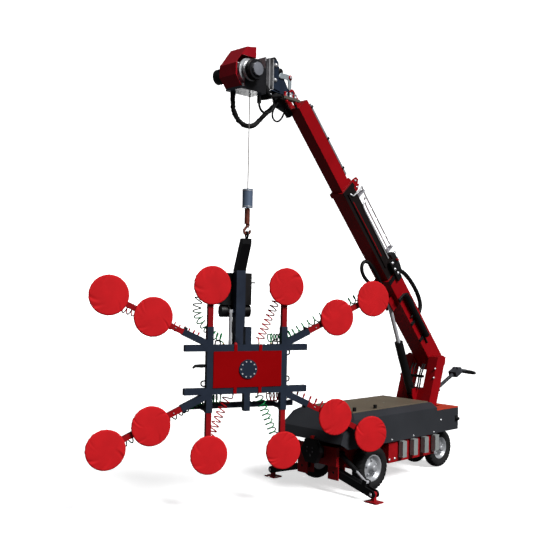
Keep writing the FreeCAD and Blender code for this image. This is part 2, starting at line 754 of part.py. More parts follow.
post_outline = [(column_foot_y, body_bottom_z), (column_foot_y + column_depth, body_bottom_z),
                (column_top_y + column_depth, column_top_z), (column_top_y, column_top_z)]
post = prism_x(post_outline, column_inner_x, column_outer_x)
post = post.fuse(across(column_inner_x, column_outer_x, pivot_y, pivot_z, column_boss_radius))
hollow_outline = [(column_foot_y + column_wall, body_bottom_z + column_wall),
                  (column_foot_y + column_depth - column_wall, body_bottom_z + column_wall),
                  (column_y(web_high_z) + column_depth - column_wall, web_high_z),
                  (column_y(web_high_z) + column_wall, web_high_z)]
post = post.cut(prism_x(hollow_outline, column_inner_x + column_wall, column_outer_x - column_wall))
web_outline = [(column_y(web_low_z), web_low_z), (column_y(web_low_z) + web_depth, web_low_z),
               (column_y(web_high_z) + web_depth, web_high_z), (column_y(web_high_z), web_high_z)]
web = prism_x(web_outline, -column_inner_x, column_inner_x)
lug_outline = [(column_y(web_low_z + web_depth) + web_depth / 2, web_low_z + web_depth),
               (column_y(web_high_z) + web_depth / 2, web_high_z), (column_y(web_high_z), web_high_z),
               (ram_foot_y - ram_eye_radius, ram_foot_z + ram_eye_radius),
               (ram_foot_y - ram_eye_radius, ram_foot_z - ram_eye_radius)]
foot_lug = prism_x(lug_outline, ram_half_width + side_gap, ram_half_width + side_gap + ram_lug_thickness)
foot_lug_reach = ram_half_width + side_gap + ram_lug_thickness
ram_pin = across(-foot_lug_reach, foot_lug_reach, ram_foot_y, ram_foot_z, ram_pin_radius)
pivot_pin = across(-column_outer_x, column_outer_x, pivot_y, pivot_z, pivot_pin_radius)
column = join(both(post) + [web] + both(foot_lug) + [ram_pin, pivot_pin])
shapes["column"] = column

# Boom pieces are built level, pointing to -y from the pivot, and raised to the elevation
pivot = vec(0, pivot_y, pivot_z)
boom_axis_z = pivot_z + boom_axis_rise


def along(distance):
    return pivot_y - distance


def raised(shape):
    turned = shape.copy()
    turned.rotate(pivot, vec(1, 0, 0), -boom_elevation)
    return turned


def raised_point(distance, height):
    mark = Part.Vertex(vec(0, along(distance), boom_axis_z + height))
    mark.rotate(pivot, vec(1, 0, 0), -boom_elevation)
    return mark.Point


def boom_box(half_width, half_depth, start, end):
    return block(-half_width, half_width, along(end), along(start),
                 boom_axis_z - half_depth, boom_axis_z + half_depth)


def boom_tube(half_width, half_depth, wall, start, end):
    shell = boom_box(half_width, half_depth, start, end)
    return shell.cut(boom_box(half_width - wall, half_depth - wall, start - overrun, end + overrun))


def collar(half_width, half_depth, inner_width, inner_depth, end):
    ring = boom_box(half_width + collar_proud, half_depth + collar_proud, end - collar_length, end)
    return ring.cut(boom_box(inner_width + slide_gap, inner_depth + slide_gap,
                             end - collar_length - overrun, end + overrun))


base = boom_tube(base_half_width, base_half_depth, base_wall, -base_tail, base_end)
tail_plate = boom_box(base_half_width, base_half_depth, -base_tail, -base_tail + base_wall)
pivot_tube = across(-base_half_width, base_half_width, pivot_y, pivot_z, pivot_pin_radius + base_wall)
base = join([base, tail_plate, pivot_tube, collar(base_half_width, base_half_depth, mid_half_width,
                                                  mid_half_depth, base_end)])
base = base.cut(across(-base_half_width - overrun, base_half_width + overrun, pivot_y, pivot_z,
                       pivot_pin_radius + turn_gap))
lug_eye_z = boom_axis_z - ram_lug_drop
lug_plate = block(ram_half_width + side_gap, ram_half_width + side_gap + ram_lug_thickness,
                  along(ram_lug_along + 2 * ram_eye_radius), along(ram_lug_along - 2 * ram_eye_radius),
                  lug_eye_z - ram_eye_radius, boom_axis_z - base_half_depth)
base = join([base] + both(lug_plate))
side_ram_x = base_half_width + side_ram_radius
side_ram = bar(vec(side_ram_x, along(side_ram_start), boom_axis_z),
               vec(side_ram_x, along(side_ram_end), boom_axis_z), side_ram_radius)
shapes["boom_base"] = raised(group([base, side_ram]))

mid = boom_tube(mid_half_width, mid_half_depth, mid_wall, mid_tail, mid_end)
mid = join([mid, collar(mid_half_width, mid_half_depth, inner_half_width, inner_half_depth, mid_end)])
side_cover = block(mid_half_width, mid_half_width + side_cover_thickness,
                   along(mid_end - collar_length), along(base_end + telescope_back + side_gap),
                   boom_axis_z - mid_half_depth / 2, boom_axis_z + mid_half_depth / 2)
shapes["boom_mid"] = raised(group([mid, side_cover]))

inner = boom_tube(inner_half_width, inner_half_depth, inner_wall, inner_tail, inner_end)
tip_plate = boom_box(inner_half_width, inner_half_depth, inner_end - 2 * inner_wall, inner_end)
head_axis_z = boom_axis_z - head_drop
tip_lug = block(head_half_width + side_gap, head_half_width + side_gap + head_lug_thickness,
                along(head_along), along(inner_end), head_axis_z - head_lug_radius,
                head_axis_z + head_lug_radius)
tip_lug = tip_lug.fuse(across(head_half_width + side_gap, head_half_width + side_gap + head_lug_thickness,
                              along(head_along), head_axis_z, head_lug_radius))
tip_lug = tip_lug.cut(across(0, head_half_width + overrun, along(head_along), head_axis_z,
                             head_pin_radius + turn_gap))
hose_plate_outline = [
    (along(hose_plate_start), boom_axis_z - inner_half_depth),
    (along(hose_port_along + 2 * hose_radius), boom_axis_z - inner_half_depth),
    (along(hose_port_along + 2 * hose_radius), boom_axis_z - hose_port_drop),
    (along(hose_port_along - 2 * hose_radius), boom_axis_z - hose_port_drop),
    (along(inner_end), boom_axis_z - inner_half_depth - hose_plate_depth),
    (along(hose_plate_start), boom_axis_z - inner_half_depth - hose_plate_depth)]
hose_plate = prism_x(hose_plate_outline, hose_x - hose_radius - inner_wall, hose_x + hose_radius + inner_wall)
shapes["boom_inner"] = raised(join([inner, tip_plate] + both(tip_lug) + [hose_plate]))

# Lift cylinder between the column foot and the lug under the boom; its upper pivot has no pin
ram_foot = vec(0, ram_foot_y, ram_foot_z)
ram_head = raised_point(ram_lug_along, -ram_lug_drop)
ram_way = ram_head.sub(ram_foot).normalize()
barrel_start = ram_foot + ram_way * ram_eye_radius / 2
barrel_stop = ram_foot + ram_way * ram_barrel_length
lift_barrel = bar(barrel_start, barrel_stop, ram_radius)
lift_barrel = lift_barrel.cut(bar(ram_foot + ram_way * (ram_eye_radius + ram_bore_wall),
                                  barrel_stop + ram_way * overrun, ram_rod_radius + slide_gap))
lift_flats = block(ram_half_width, ram_radius + overrun, ram_foot_y - ram_barrel_length,
                   ram_foot_y + ram_radius + overrun, ram_foot_z - ram_radius - overrun,
                   ram_foot_z + 2 * ram_eye_radius)
for tool in both(lift_flats):
    lift_barrel = lift_barrel.cut(tool)
lift_barrel = lift_barrel.fuse(across(-ram_half_width, ram_half_width, ram_foot_y, ram_foot_z, ram_eye_radius))
lift_barrel = lift_barrel.removeSplitter()
shapes["lift_barrel"] = lift_barrel.cut(
    across(-ram_radius - overrun, ram_radius + overrun, ram_foot_y, ram_foot_z, ram_pin_radius + turn_gap))
rod_share = 0.28
rod_low = ram_foot + ram_head.sub(ram_foot) * rod_share
lift_rod = bar(rod_low, ram_head, ram_rod_radius)
lift_rod = lift_rod.fuse(across(-ram_half_width, ram_half_width, ram_head.y, ram_head.z,
                                ram_eye_radius - ram_bore_wall)).removeSplitter()
shapes["lift_rod"] = lift_rod

# Winch head: bracket on the boom tip, plate stack, tray, drum, motor, gearbox and folded hood
head_pin = raised_point(head_along, -head_drop)
bracket_nose_share = 1.5
bracket_outline = [
    (plate_last_y, plate_high_z), (plate_last_y + head_half_width * 2, plate_high_z),
    (head_pin.y - head_half_width, head_pin.z + head_lug_radius), (head_pin.y, head_pin.z + head_lug_radius),
    (head_pin.y + head_pin_radius * bracket_nose_share, head_pin.z), (head_pin.y, head_pin.z - head_lug_radius),
    (plate_last_y + head_half_width, plate_low_z), (plate_last_y, plate_low_z)]
bracket = prism_x(bracket_outline, -head_half_width, head_half_width)
pin_reach = head_half_width + side_gap + head_lug_thickness
shapes["head_bracket"] = join([bracket, across(-pin_reach, pin_reach, head_pin.y, head_pin.z, head_pin_radius)])

plates = []
plate_step = (plate_last_y - plate_first_y - plate_thickness) / (plate_count - 1)
for index in range(plate_count):
    y0 = plate_first_y + index * plate_step
    plates.append(block(-plate_half_width, plate_half_width, y0, y0 + plate_thickness,
                        plate_low_z, plate_high_z))
stack_core = block(-head_half_width, head_half_width, plate_first_y, plate_last_y,
                   plate_low_z + head_half_width, plate_high_z - head_half_width)
tray_half_width = drum_half_width + side_gap + winch_cheek
tray = block(-tray_half_width, tray_half_width, tray_front_y, plate_first_y, tray_z, tray_z + tray_thickness)
rope_guide = bar(vec(0, 0, tray_z - overrun), vec(0, 0, tray_z + tray_thickness + overrun), rope_radius)
tray = tray.cut(rope_guide)
cheeks = []
for side in (-1, 1):
    x0 = min(side * (drum_half_width + side_gap), side * tray_half_width)
    cheeks.append(block(x0, x0 + winch_cheek, drum_y - drum_shaft_radius * 3, plate_first_y,
                        tray_z + tray_thickness, drum_z + 3 * drum_shaft_radius))
shaft = across(-tray_half_width, tray_half_width, drum_y, drum_z, drum_shaft_radius)
stack_foot = block(-tray_half_width, tray_half_width, plate_first_y - winch_cheek, plate_first_y,
                   tray_z, plate_high_z - head_half_width)
motor = across(tray_half_width, tray_half_width + motor_length, drum_y, drum_z, motor_radius)
motor_cap = across(tray_half_width + motor_length, tray_half_width + motor_length + motor_cap_length,
                   drum_y, drum_z, motor_cap_radius)
gearbox = across(-tray_half_width - gearbox_length, -tray_half_width, drum_y, drum_z, gearbox_radius)
shapes["winch_unit"] = join(plates + [stack_core, tray, shaft, stack_foot, motor, motor_cap, gearbox] + cheeks)

drum = across(-drum_half_width, drum_half_width, drum_y, drum_z, drum_radius)
for side in (-1, 1):
    x0 = min(side * drum_half_width, side * (drum_half_width - drum_flange_thickness))
    drum = drum.fuse(across(x0, x0 + drum_flange_thickness, drum_y, drum_z, drum_flange_radius))
drum = drum.removeSplitter()
shapes["winch_drum"] = drum.cut(across(-drum_half_width - overrun, drum_half_width + overrun, drum_y, drum_z,
                                       drum_shaft_radius + turn_gap))


def hood_solid(inset):
    outline = [(hood_back_y - inset, hood_peak_z + hood_back_lift - inset), (hood_peak_y, hood_peak_z - inset),
               (hood_front_y + inset, hood_brow_z), (hood_front_y + inset, hood_chin_z),
               (tray_front_y + inset, hood_floor_z), (hood_back_y - inset, hood_floor_z)]
    return prism_x(outline, -hood_half_width + inset, hood_half_width - inset)


hood_floor_z = tray_z + tray_thickness + seat_gap
hood = hood_solid(0).cut(hood_solid(hood_wall))
hood_side_z = hood_peak_z - hood_side_height
side_opening = block(hood_half_width - hood_wall, hood_half_width + overrun, hood_front_y + hood_band,
                     hood_back_y + overrun, hood_floor_z - overrun, hood_side_z)
back_opening = block(-hood_half_width - overrun, hood_half_width + overrun, hood_back_y - hood_wall,
                     hood_back_y + overrun, hood_floor_z - overrun, hood_side_z)
for tool in both(side_opening) + [back_opening]:
    hood = hood.cut(tool)
shapes["winch_hood"] = hood

# Hose bundle that hangs in a loop from the winch tray to the port under the boom tip
hose_port = raised_point(hose_port_along, -hose_port_drop)
hose_entry = raised_point(hose_port_along, -hose_port_drop - hose_straight)
hose_route = [(-127.0, tray_z), (-127.0, 3336.0), (-125.0, 3270.0), (-102.0, 3213.0), (-59.0, 3168.0),
              (-2.0, 3143.0), (60.0, 3140.0), (118.0, 3161.0), (190.0, 3225.0), (262.0, 3293.0)]
hose_points = [vec(hose_x, y, z) for y, z in hose_route]
hose_points += [vec(hose_x, p.y, p.z) for p in (hose_entry, hose_port)]
shapes["head_hose"] = cord_tube(hose_points, hose_radius)

# Rope and the hook weight with its swivel bore
shapes["rope"] = bar(vec(0, 0, weight_top_z), vec(0, 0, drum_z), rope_radius)
weight = bar(vec(0, 0, weight_bottom_z), vec(0, 0, weight_top_z), weight_radius)
swivel_top = vec(0, 0, weight_bottom_z + weight_radius)
shapes["hook_weight"] = weight.cut(bar(vec(0, 0, weight_bottom_z - overrun), swivel_top + vec(0, 0, side_gap),
                                       swivel_radius + turn_gap))


# Hook, whose bowl faces the front of the vacuum frame, and its latch
def hook_point(degrees):
    turn = math.radians(degrees)
    return vec(hook_bowl_radius * math.cos(turn), 0, hook_bowl_z + hook_bowl_radius * math.sin(turn))


bowl_edge = Part.Arc(hook_point(hook_back_angle), hook_point((hook_back_angle + hook_tip_angle) / 2),
                     hook_point(hook_tip_angle)).toShape()
back_turn = math.radians(hook_back_angle)
back_run = -hook_bowl_radius * math.cos(back_turn) / math.sin(back_turn)
knee = hook_point(hook_back_angle) + vec(math.sin(back_turn), 0, -math.cos(back_turn)) * back_run
hook_path = Part.Wire([Part.LineSegment(knee, hook_point(hook_back_angle)).toShape(), bowl_edge])
hook_section = Part.Wire(Part.makeCircle(hook_wire_radius, knee, hook_point(hook_back_angle).sub(knee)))
hook_bend = hook_path.makePipeShell([hook_section], True, False)
hook_neck = bar(knee, swivel_top, swivel_radius)
collar_low = vec(0, 0, hook_bowl_z + hook_collar_rise)
hook_collar = bar(collar_low, vec(0, 0, weight_bottom_z - side_gap), 2 * swivel_radius)
latch_z = collar_low.z - latch_drop
latch_lug = block(latch_x - latch_lug_half_width, latch_x + latch_lug_half_width, latch_lug_gap,
                  latch_lug_gap + latch_lug_thickness, latch_z - latch_lug_half_width, collar_low.z)
latch_lug = latch_lug.cut(bar(vec(latch_x, 0, latch_z), vec(latch_x, overrun, latch_z),
                              latch_radius + turn_gap))
far_lug = latch_lug.mirror(vec(0, 0, 0), vec(0, 1, 0))
hook = join([hook_bend, Part.makeSphere(hook_knee_radius, knee), hook_neck, hook_collar, latch_lug, far_lug])
latch_reach = latch_lug_gap + latch_lug_thickness
latch = join([bar(vec(latch_x, -latch_reach, latch_z), vec(latch_x, latch_reach, latch_z), latch_radius),
              bar(vec(latch_x, 0, latch_z),
                  vec(latch_x - latch_radius, 0, latch_z - latch_length), latch_radius)])


# Vacuum frame: uprights, rails, a centre post and four fan sockets of square tube, with the hub
# shaft and the rear bar behind
def at(x, y, height):
    return vec(x, y, hub_z + height)


def beam(x0, x1, y0, y1, low, high):
    return block(x0, x1, y0, y1, hub_z + low, hub_z + high)


def square_run(start, end, size):
    run = end.sub(start)
    solid = block(-size / 2, size / 2, -size / 2, size / 2, 0, run.Length)
    solid.rotate(vec(0, 0, 0), vec(0, 1, 0), math.degrees(math.atan2(run.x, run.z)))
    solid.translate(start)
    return solid


def fan_point(side, level, distance):
    turn = math.radians(fan_angle)
    return at(side * (upright_x + distance * math.cos(turn)), frame_y,
              level * (fan_rise + distance * math.sin(turn)))


quadrants = [(side, level) for side in (-1, 1) for level in (-1, 1)]
corner_names = {(-1, 1): "upper_left", (1, 1): "upper_right", (-1, -1): "lower_left", (1, -1): "lower_right"}
tube_bore = tube_size - 2 * tube_wall
arm_size = tube_bore - 2 * slide_gap
tube_front_y = frame_y - tube_size / 2
tube_back_y = frame_y + tube_size / 2
arm_front_y = frame_y - arm_size / 2
outer_runs = []
bores = []
for side in (-1, 1):
    x = side * upright_x
    outer_runs.append(square_run(at(x, frame_y, -upright_reach), at(x, frame_y, upright_reach), tube_size))
    bores.append(square_run(at(x, frame_y, -upright_reach - overrun), at(x, frame_y, upright_reach + overrun),
                            tube_bore))
    rail = square_run(at(-rail_reach, frame_y, side * rail_z), at(rail_reach, frame_y, side * rail_z),
                      tube_size)
    outer_runs.append(rail)
    bores.append(square_run(at(side * tube_size, frame_y, rail_z),
                            at(side * (upright_x - tube_size), frame_y, rail_z), tube_bore))
    bores.append(square_run(at(side * tube_size, frame_y, -rail_z),
                            at(side * (upright_x - tube_size), frame_y, -rail_z), tube_bore))
outer_runs.append(square_run(at(0, frame_y, -stub_reach), at(0, frame_y, stub_reach), tube_size))
for side, level in quadrants:
    outer_runs.append(square_run(fan_point(side, level, 0), fan_point(side, level, fan_mouth), tube_size))
    bores.append(square_run(fan_point(side, level, fan_bore_start),
                            fan_point(side, level, fan_mouth + overrun), tube_bore))
rear_bar_z = (-rear_bar_drop - rear_bar_size / 2, -rear_bar_drop + rear_bar_size / 2)
rear_bar_front = rear_bar_y - rear_bar_size / 2
rear_bar = beam(-rear_bar_reach, rear_bar_reach, rear_bar_front, rear_bar_front + rear_bar_size, *rear_bar_z)
spacer = beam(upright_x - tube_size / 2, upright_x + tube_size / 2, tube_back_y, rear_bar_front, *rear_bar_z)
hub_shaft = bar(at(0, tube_back_y, 0), at(0, tube_back_y + hub_shaft_length, 0), hub_shaft_radius)
frame = join(outer_runs + [rear_bar, hub_shaft] + both(spacer))
for bore in bores:
    frame = frame.cut(bore)

# Front panel with tabs over the rails, and the bolted hub plate
panel_front_y = tube_front_y - panel_thickness
panel = beam(-panel_half_width, panel_half_width, panel_front_y, tube_front_y,
             -panel_half_height, panel_half_height)
tabs = []
for x in (-tab_x, tab_x):
    tabs.append(beam(x - tab_half_width, x + tab_half_width, panel_front_y, tube_front_y,
                     -rail_z - tube_size / 2, rail_z + tube_size / 2))
hub_front_y = panel_front_y - hub_plate_thickness
hub_disc = bar(at(0, hub_front_y, 0), at(0, panel_front_y, 0), hub_plate_radius)
bolts = []
for index in range(bolt_count):
    turn = 2 * math.pi * index / bolt_count
    centre = at(bolt_circle * math.cos(turn), hub_front_y, bolt_circle * math.sin(turn))
    bolts.append(bar(centre, centre - vec(0, bolt_height, 0), bolt_radius))
front_panel = join([panel, hub_disc] + tabs + bolts)

# Arms and the covered cups on them
half_bottom = arm_front_y - stem_length
cover_front_y = half_bottom - cover_depth


def covered_cup(x, z):
    outline = [vec(0, half_bottom, 0), vec(cover_radius - 2 * cover_rim, half_bottom, 0),
               vec(cover_radius, half_bottom - cover_rim, 0),
               vec(cover_radius, cover_front_y + cover_rim + cover_crown, 0),
               vec(cover_radius - cover_rim, cover_front_y + cover_crown, 0), vec(0, cover_front_y, 0)]
    face = Part.Face(Part.makePolygon(outline + outline[:1]))
    cup = face.revolve(vec(0, 0, 0), vec(0, 1, 0), 360)
    cup.translate(vec(x, 0, z))
    stem = bar(vec(x, half_bottom, z), vec(x, arm_front_y, z), stem_radius)
    return join([cup, stem])


lifter = {"cross_frame": frame, "front_panel": front_panel, "hook": hook, "hook_latch": latch}
for side, level in quadrants:
    corner = corner_names[(side, level)]
    tail, end = fan_point(side, level, fan_tail), fan_point(side, level, fan_outer_cup + arm_end)
    arm = square_run(tail, end, arm_size)
    lifter["fan_arm_" + corner] = arm.cut(square_run(tail, end, arm_size - 2 * arm_wall))
    cups = []
    for distance in (fan_inner_cup, fan_outer_cup):
        centre = fan_point(side, level, distance)
        cups.append(covered_cup(centre.x, centre.z))
    lifter["fan_cups_" + corner] = group(cups)
    tail, end = at(side * upright_x, frame_y, level * post_tail), at(
        side * upright_x, frame_y, level * (post_cup + arm_end))
    arm = square_run(tail, end, arm_size)
    lifter["post_arm_" + corner] = arm.cut(square_run(tail, end, arm_size - 2 * arm_wall))
    lifter["post_cup_" + corner] = covered_cup(side * upright_x, hub_z + level * post_cup)

# Tilt hub: the bearing block that turns on the mast's ears and holds the hub shaft
hub_block_front = tube_back_y + side_gap
hub_half_width = mast_half_width - side_gap
hub_block = beam(-hub_half_width, hub_half_width, hub_block_front, tilt_y, -hub_block_half, hub_block_half)
hub_round = bar(at(-hub_half_width, tilt_y, 0), at(hub_half_width, tilt_y, 0), hub_block_half)
hub_pin_reach = mast_half_width + mast_ear
hub_pin = bar(at(-hub_pin_reach, tilt_y, 0), at(hub_pin_reach, tilt_y, 0), tilt_pin_radius)
hub = join([hub_block, hub_round, hub_pin])
lifter["tilt_hub"] = hub.cut(bar(at(0, tube_back_y - overrun, 0),
                                 at(0, tube_back_y + hub_shaft_length + side_gap, 0), hub_shaft_radius + turn_gap))

# Mast: a box post behind the frame that bends forward to the eye, with the tilt actuator beside it
mast_front_y = mast_y - mast_half_depth
mast_back_y = mast_y + mast_half_depth


def mast_prism(outline, x0, x1):
    return prism_x([(y, hub_z + height) for y, height in outline], x0, x1)


mast_shell = mast_prism([(mast_front_y, -mast_foot), (mast_back_y, -mast_foot), (mast_back_y, mast_bend),
                         (mast_half_depth, mast_top), (-eye_wire_radius, mast_top),
                         (-eye_wire_radius, mast_top - mast_half_depth), (mast_front_y, mast_bend)],
                        -mast_half_width, mast_half_width)
mast_hollow = beam(-mast_half_width + mast_wall, mast_half_width - mast_wall, mast_front_y + mast_wall,
                   mast_back_y - mast_wall, -mast_foot + mast_wall, mast_bend - mast_wall)
ear = beam(mast_half_width, mast_half_width + mast_ear, tilt_y - 2 * tilt_pin_radius, mast_back_y,
           -mast_foot, mast_foot)
ear = ear.cut(bar(at(0, tilt_y, 0), at(mast_half_width + overrun, tilt_y, 0), tilt_pin_radius + turn_gap))
ring_centre = vec(0, 0, hook_bowl_z - hook_bowl_radius + hook_wire_radius + hook_rest_gap
                  - eye_ring_radius + eye_wire_radius)
ring = Part.makeTorus(eye_ring_radius, eye_wire_radius, ring_centre, vec(1, 0, 0))
ring_foot = bar(at(0, 0, mast_top - mast_half_depth), ring_centre - vec(0, 0, eye_ring_radius),
                eye_wire_radius)
mast = join([mast_shell.cut(mast_hollow), ring, ring_foot] + both(ear))
actuator = [bar(at(-actuator_x, mast_y, actuator_low), at(-actuator_x, mast_y, actuator_high),
                actuator_radius)]
for height in (actuator_low, actuator_high):
    actuator.append(beam(-actuator_x - actuator_radius, -mast_half_width, mast_y - actuator_radius,
                         mast_y + actuator_radius, height - actuator_radius, height + actuator_radius))
lifter["lifter_mast"] = group([mast, join(actuator)])

# Power unit on the back of the mast: a case and a vacuum tank below it
case = beam(-unit_half_width, unit_half_width, mast_back_y, mast_back_y + unit_depth, unit_low, unit_high)
tank = bar(at(-unit_half_width, mast_back_y + tank_radius, unit_low - tank_radius),
           at(unit_half_width, mast_back_y + tank_radius, unit_low - tank_radius), tank_radius)
lifter["power_unit"] = group([case, tank])


# Coil hoses: each leaves a socket, winds beside its arm and enters the arm's side face
def arc_between(start, control, end):
    middle = (start + end) * 0.5
    rise = control.sub(middle)
    turn = control.sub(start).getAngle(end.sub(control))
    sagitta = start.distanceToPoint(end) / 2 * math.tan(turn / 4)
    return Part.Arc(start, middle + rise.normalize() * sagitta, end).toShape()


def biarc(start, start_way, end, end_way):
    gap = end.sub(start)
    total = start_way + end_way
    spread = 2 - 2 * start_way.dot(end_way)
    reach = (-gap.dot(total) + math.sqrt(gap.dot(total) ** 2 + gap.dot(gap) * spread)) / spread
    first = start + start_way * reach
    second = end - end_way * reach
    meeting = (first + second) * 0.5
    return [arc_between(start, first, meeting), arc_between(meeting, second, end)]


def smooth_place(points, share):
    spans = len(points) - 1
    index = min(int(share * spans), spans - 1)
    local = share * spans - index
    here, after = points[index], points[index + 1]
    before = points[index - 1] if index else here * 2 - after
    beyond = points[index + 2] if index + 2 <= spans else after * 2 - here
    square = (before * 2 - here * 5 + after * 4 - beyond) * local ** 2
    cube = (here * 3 - before - after * 3 + beyond) * local ** 3
    return (here * 2 + (after - before) * local + square + cube) * 0.5


def coil_hose(points, level, hand, turns, from_rail=True):
    back = vec(0, 1, 0)
    up = vec(0, 0, level)
    small_share = 0.0005

    def on_coil(share):
        low, high = max(share - small_share, 0), min(share + small_share, 1)
        along = smooth_place(points, high) - smooth_place(points, low)
        out = back.cross(along).normalize() * hand
        turn = math.radians(180 - (360 * turns + 180) * share)
        return smooth_place(points, share) + (out * math.cos(turn) + back * math.sin(turn)) * coil_radius

    def heading(share):
        low, high = max(share - small_share, 0), min(share + small_share, 1)
        return (on_coil(high) - on_coil(low)).normalize()

    start = on_coil(0)
    if from_rail:
        corner = vec(start.x, frame_y + coil_exit_back + coil_bend, start.z)
        bend_start = corner - back * coil_bend - up * coil_bend
        entry = vec(bend_start.x, bend_start.y, hub_z + level * (rail_z + tube_size / 2))
        edges = [Part.LineSegment(entry, bend_start).toShape(),
                 arc_between(bend_start, corner - back * coil_bend, corner),
                 Part.LineSegment(corner, start).toShape()]
    else:
        entry = vec(start.x, frame_y + tube_size / 2, start.z)
        edges = [Part.LineSegment(entry, start).toShape()]
    shares = [index / (2 * turns + 1) for index in range(2 * turns + 2)]
    places = [(on_coil(share), heading(share)) for share in shares]
    places[0] = (start, back)
    last = places[-1][0]
    places[-1] = (last, back * -1)
    for (point, way), (next_point, next_way) in zip(places, places[1:]):
        edges += biarc(point, way, next_point, next_way)
    edges.append(Part.LineSegment(last, vec(last.x, frame_y + arm_size / 2, last.z)).toShape())
    path = Part.Wire(edges)
    section = Part.Wire(Part.makeCircle(coil_tube_radius, entry, up if from_rail else back))
    return path.makePipeShell([section], True, False)


def coil_place(x, z):
    return at(x, coil_y, z)


def beside_fan(side, level, along_share, aside_share):
    place = fan_point(side, level, along_share * fan_outer_cup)
    turn = math.radians(fan_angle)
    aside = vec(-side * math.sin(turn), 0, level * math.cos(turn)) * (aside_share * coil_radius)
    return vec(place.x, coil_y, place.z) + aside


coils = []
for side, level in quadrants:
    crossing = corner_names[(side, level)] == "upper_left"
    beside_body = corner_names[(side, level)] == "lower_right"
    if crossing:
        fan_line = [beside_fan(side, level, along, aside)
                    for along, aside in zip(crossing_shares, crossing_aside_shares)]
        fan_hand, fan_turns = -side * level, crossing_fan_turns
        post_line = [coil_place(side * x_share * upright_x, level * z_share * post_cup)
                     for x_share, z_share in zip(crossing_post_x_shares, crossing_post_z_shares)]
        post_hand, post_turns = -side * level, crossing_post_turns
    else:
        outward = side == level
        fan_line = [coil_place(side * fan_coil_start_x, level * fan_coil_start_z),
                    coil_place(side * upright_x, level * fan_coil_start_z)]
        fan_line += [beside_fan(side, level, along, aside) for along, aside in zip(
            short_fan_shares if beside_body else fan_coil_shares,
            outward_shares if outward else inward_shares)]
        fan_hand = (side if outward else -side) * level
        fan_turns = short_fan_turns if beside_body else fan_coil_turns
        post_line = [coil_place(side * post_coil_start_x, level * post_coil_start_z),
                     coil_place(side * (upright_x - post_coil_end_inset),
                                level * (post_cup - post_coil_end_drop))]
        post_hand, post_turns = side * level, post_coil_turns
    coils.append(coil_hose(fan_line, level, fan_hand, fan_turns, not crossing))
    coils.append(coil_hose(post_line, level, post_hand, post_turns))
lifter["coil_hoses"] = group(coils)

# The vacuum frame hangs turned about the rope
for name, shape in lifter.items():
    turned = shape.copy()
    turned.rotate(vec(0, 0, 0), vec(0, 0, 1), frame_turn)
    shapes[name] = turned

# The origin goes to the middle of the part's box, at the ground, measured without the loose hose
box = group([shape for name, shape in shapes.items() if name != "head_hose"]).optimalBoundingBox(False, False)
shift = vec(-box.Center.x, -box.Center.y, -box.ZMin)
os.makedirs("parts", exist_ok=True)
for name, shape in shapes.items():
    placed = shape.copy()
    placed.translate(shift)
    placed.exportStep("parts/" + name + ".step")
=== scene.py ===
import json
import math

import bmesh
import bpy
import numpy as np
from mathutils import Matrix, Vector


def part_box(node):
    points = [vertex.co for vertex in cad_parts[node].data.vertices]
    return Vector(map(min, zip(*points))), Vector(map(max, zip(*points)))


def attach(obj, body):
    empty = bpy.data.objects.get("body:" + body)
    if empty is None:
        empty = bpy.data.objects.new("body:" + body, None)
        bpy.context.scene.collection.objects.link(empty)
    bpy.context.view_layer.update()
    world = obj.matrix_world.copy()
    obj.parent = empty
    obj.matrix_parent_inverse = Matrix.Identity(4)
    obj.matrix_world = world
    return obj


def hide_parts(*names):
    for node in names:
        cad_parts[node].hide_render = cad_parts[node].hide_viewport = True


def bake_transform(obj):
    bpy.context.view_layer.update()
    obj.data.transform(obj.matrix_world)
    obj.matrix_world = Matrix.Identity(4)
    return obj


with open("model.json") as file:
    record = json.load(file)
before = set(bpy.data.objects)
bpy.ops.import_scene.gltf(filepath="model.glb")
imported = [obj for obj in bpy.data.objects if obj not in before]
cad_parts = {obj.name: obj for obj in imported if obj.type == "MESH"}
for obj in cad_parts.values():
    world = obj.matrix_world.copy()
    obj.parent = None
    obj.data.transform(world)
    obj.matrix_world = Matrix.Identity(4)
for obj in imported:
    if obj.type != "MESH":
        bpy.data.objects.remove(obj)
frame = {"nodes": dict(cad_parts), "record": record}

nodes = frame["nodes"]
joints = {joint["name"]: joint for joint in frame["record"]["behaviour"]["joints"]}
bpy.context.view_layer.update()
scene = bpy.context.scene

# The camera stands left of the machine's front at chest height and looks a little up. It was
# fitted to the cup covers, wheels and boom in the photograph, a frame of 550 by 550 pixels.
FRAME_PIXELS = 550
FOCAL_PIXELS = 816.4
rope_y = joints["hook_swivel"]["pos_m"][1]
eye = Vector((4.951, rope_y - 4.520, 1.819))
heading, pitch, roll = math.radians(45.57), math.radians(0.752), math.radians(1.175)
level_right = Vector((math.cos(heading), math.sin(heading), 0))
ahead = Vector((-math.sin(heading) * math.cos(pitch), math.cos(heading) * math.cos(pitch), math.sin(pitch)))
level_up = level_right.cross(ahead)
right = level_right * math.cos(roll) + level_up * math.sin(roll)
upward = level_up * math.cos(roll) - level_right * math.sin(roll)
camera = bpy.data.objects.new("camera", bpy.data.cameras.new("camera"))
camera.data.lens = camera.data.sensor_width * FOCAL_PIXELS / FRAME_PIXELS
camera.matrix_world = Matrix((right, upward, -ahead)).transposed().to_4x4()
camera.matrix_world.translation = eye
scene.collection.objects.link(camera)
scene.camera = camera
scene.view_settings.view_transform = "Standard"

# The studio: a pale round floor that sweeps up into a pale wall, a dim room, one broad lamp far
# away on the machine's left, so that its left faces are bright and its front dark, and one behind
# it, level and opposite the camera. The floor throws no light or shadow on the machine.
world = bpy.data.worlds.new("studio")
world.use_nodes = True
world.node_tree.nodes["Background"].inputs["Color"].default_value = (0.95, 0.97, 1.0, 1)
world.node_tree.nodes["Background"].inputs["Strength"].default_value = 0.075
scene.world = world
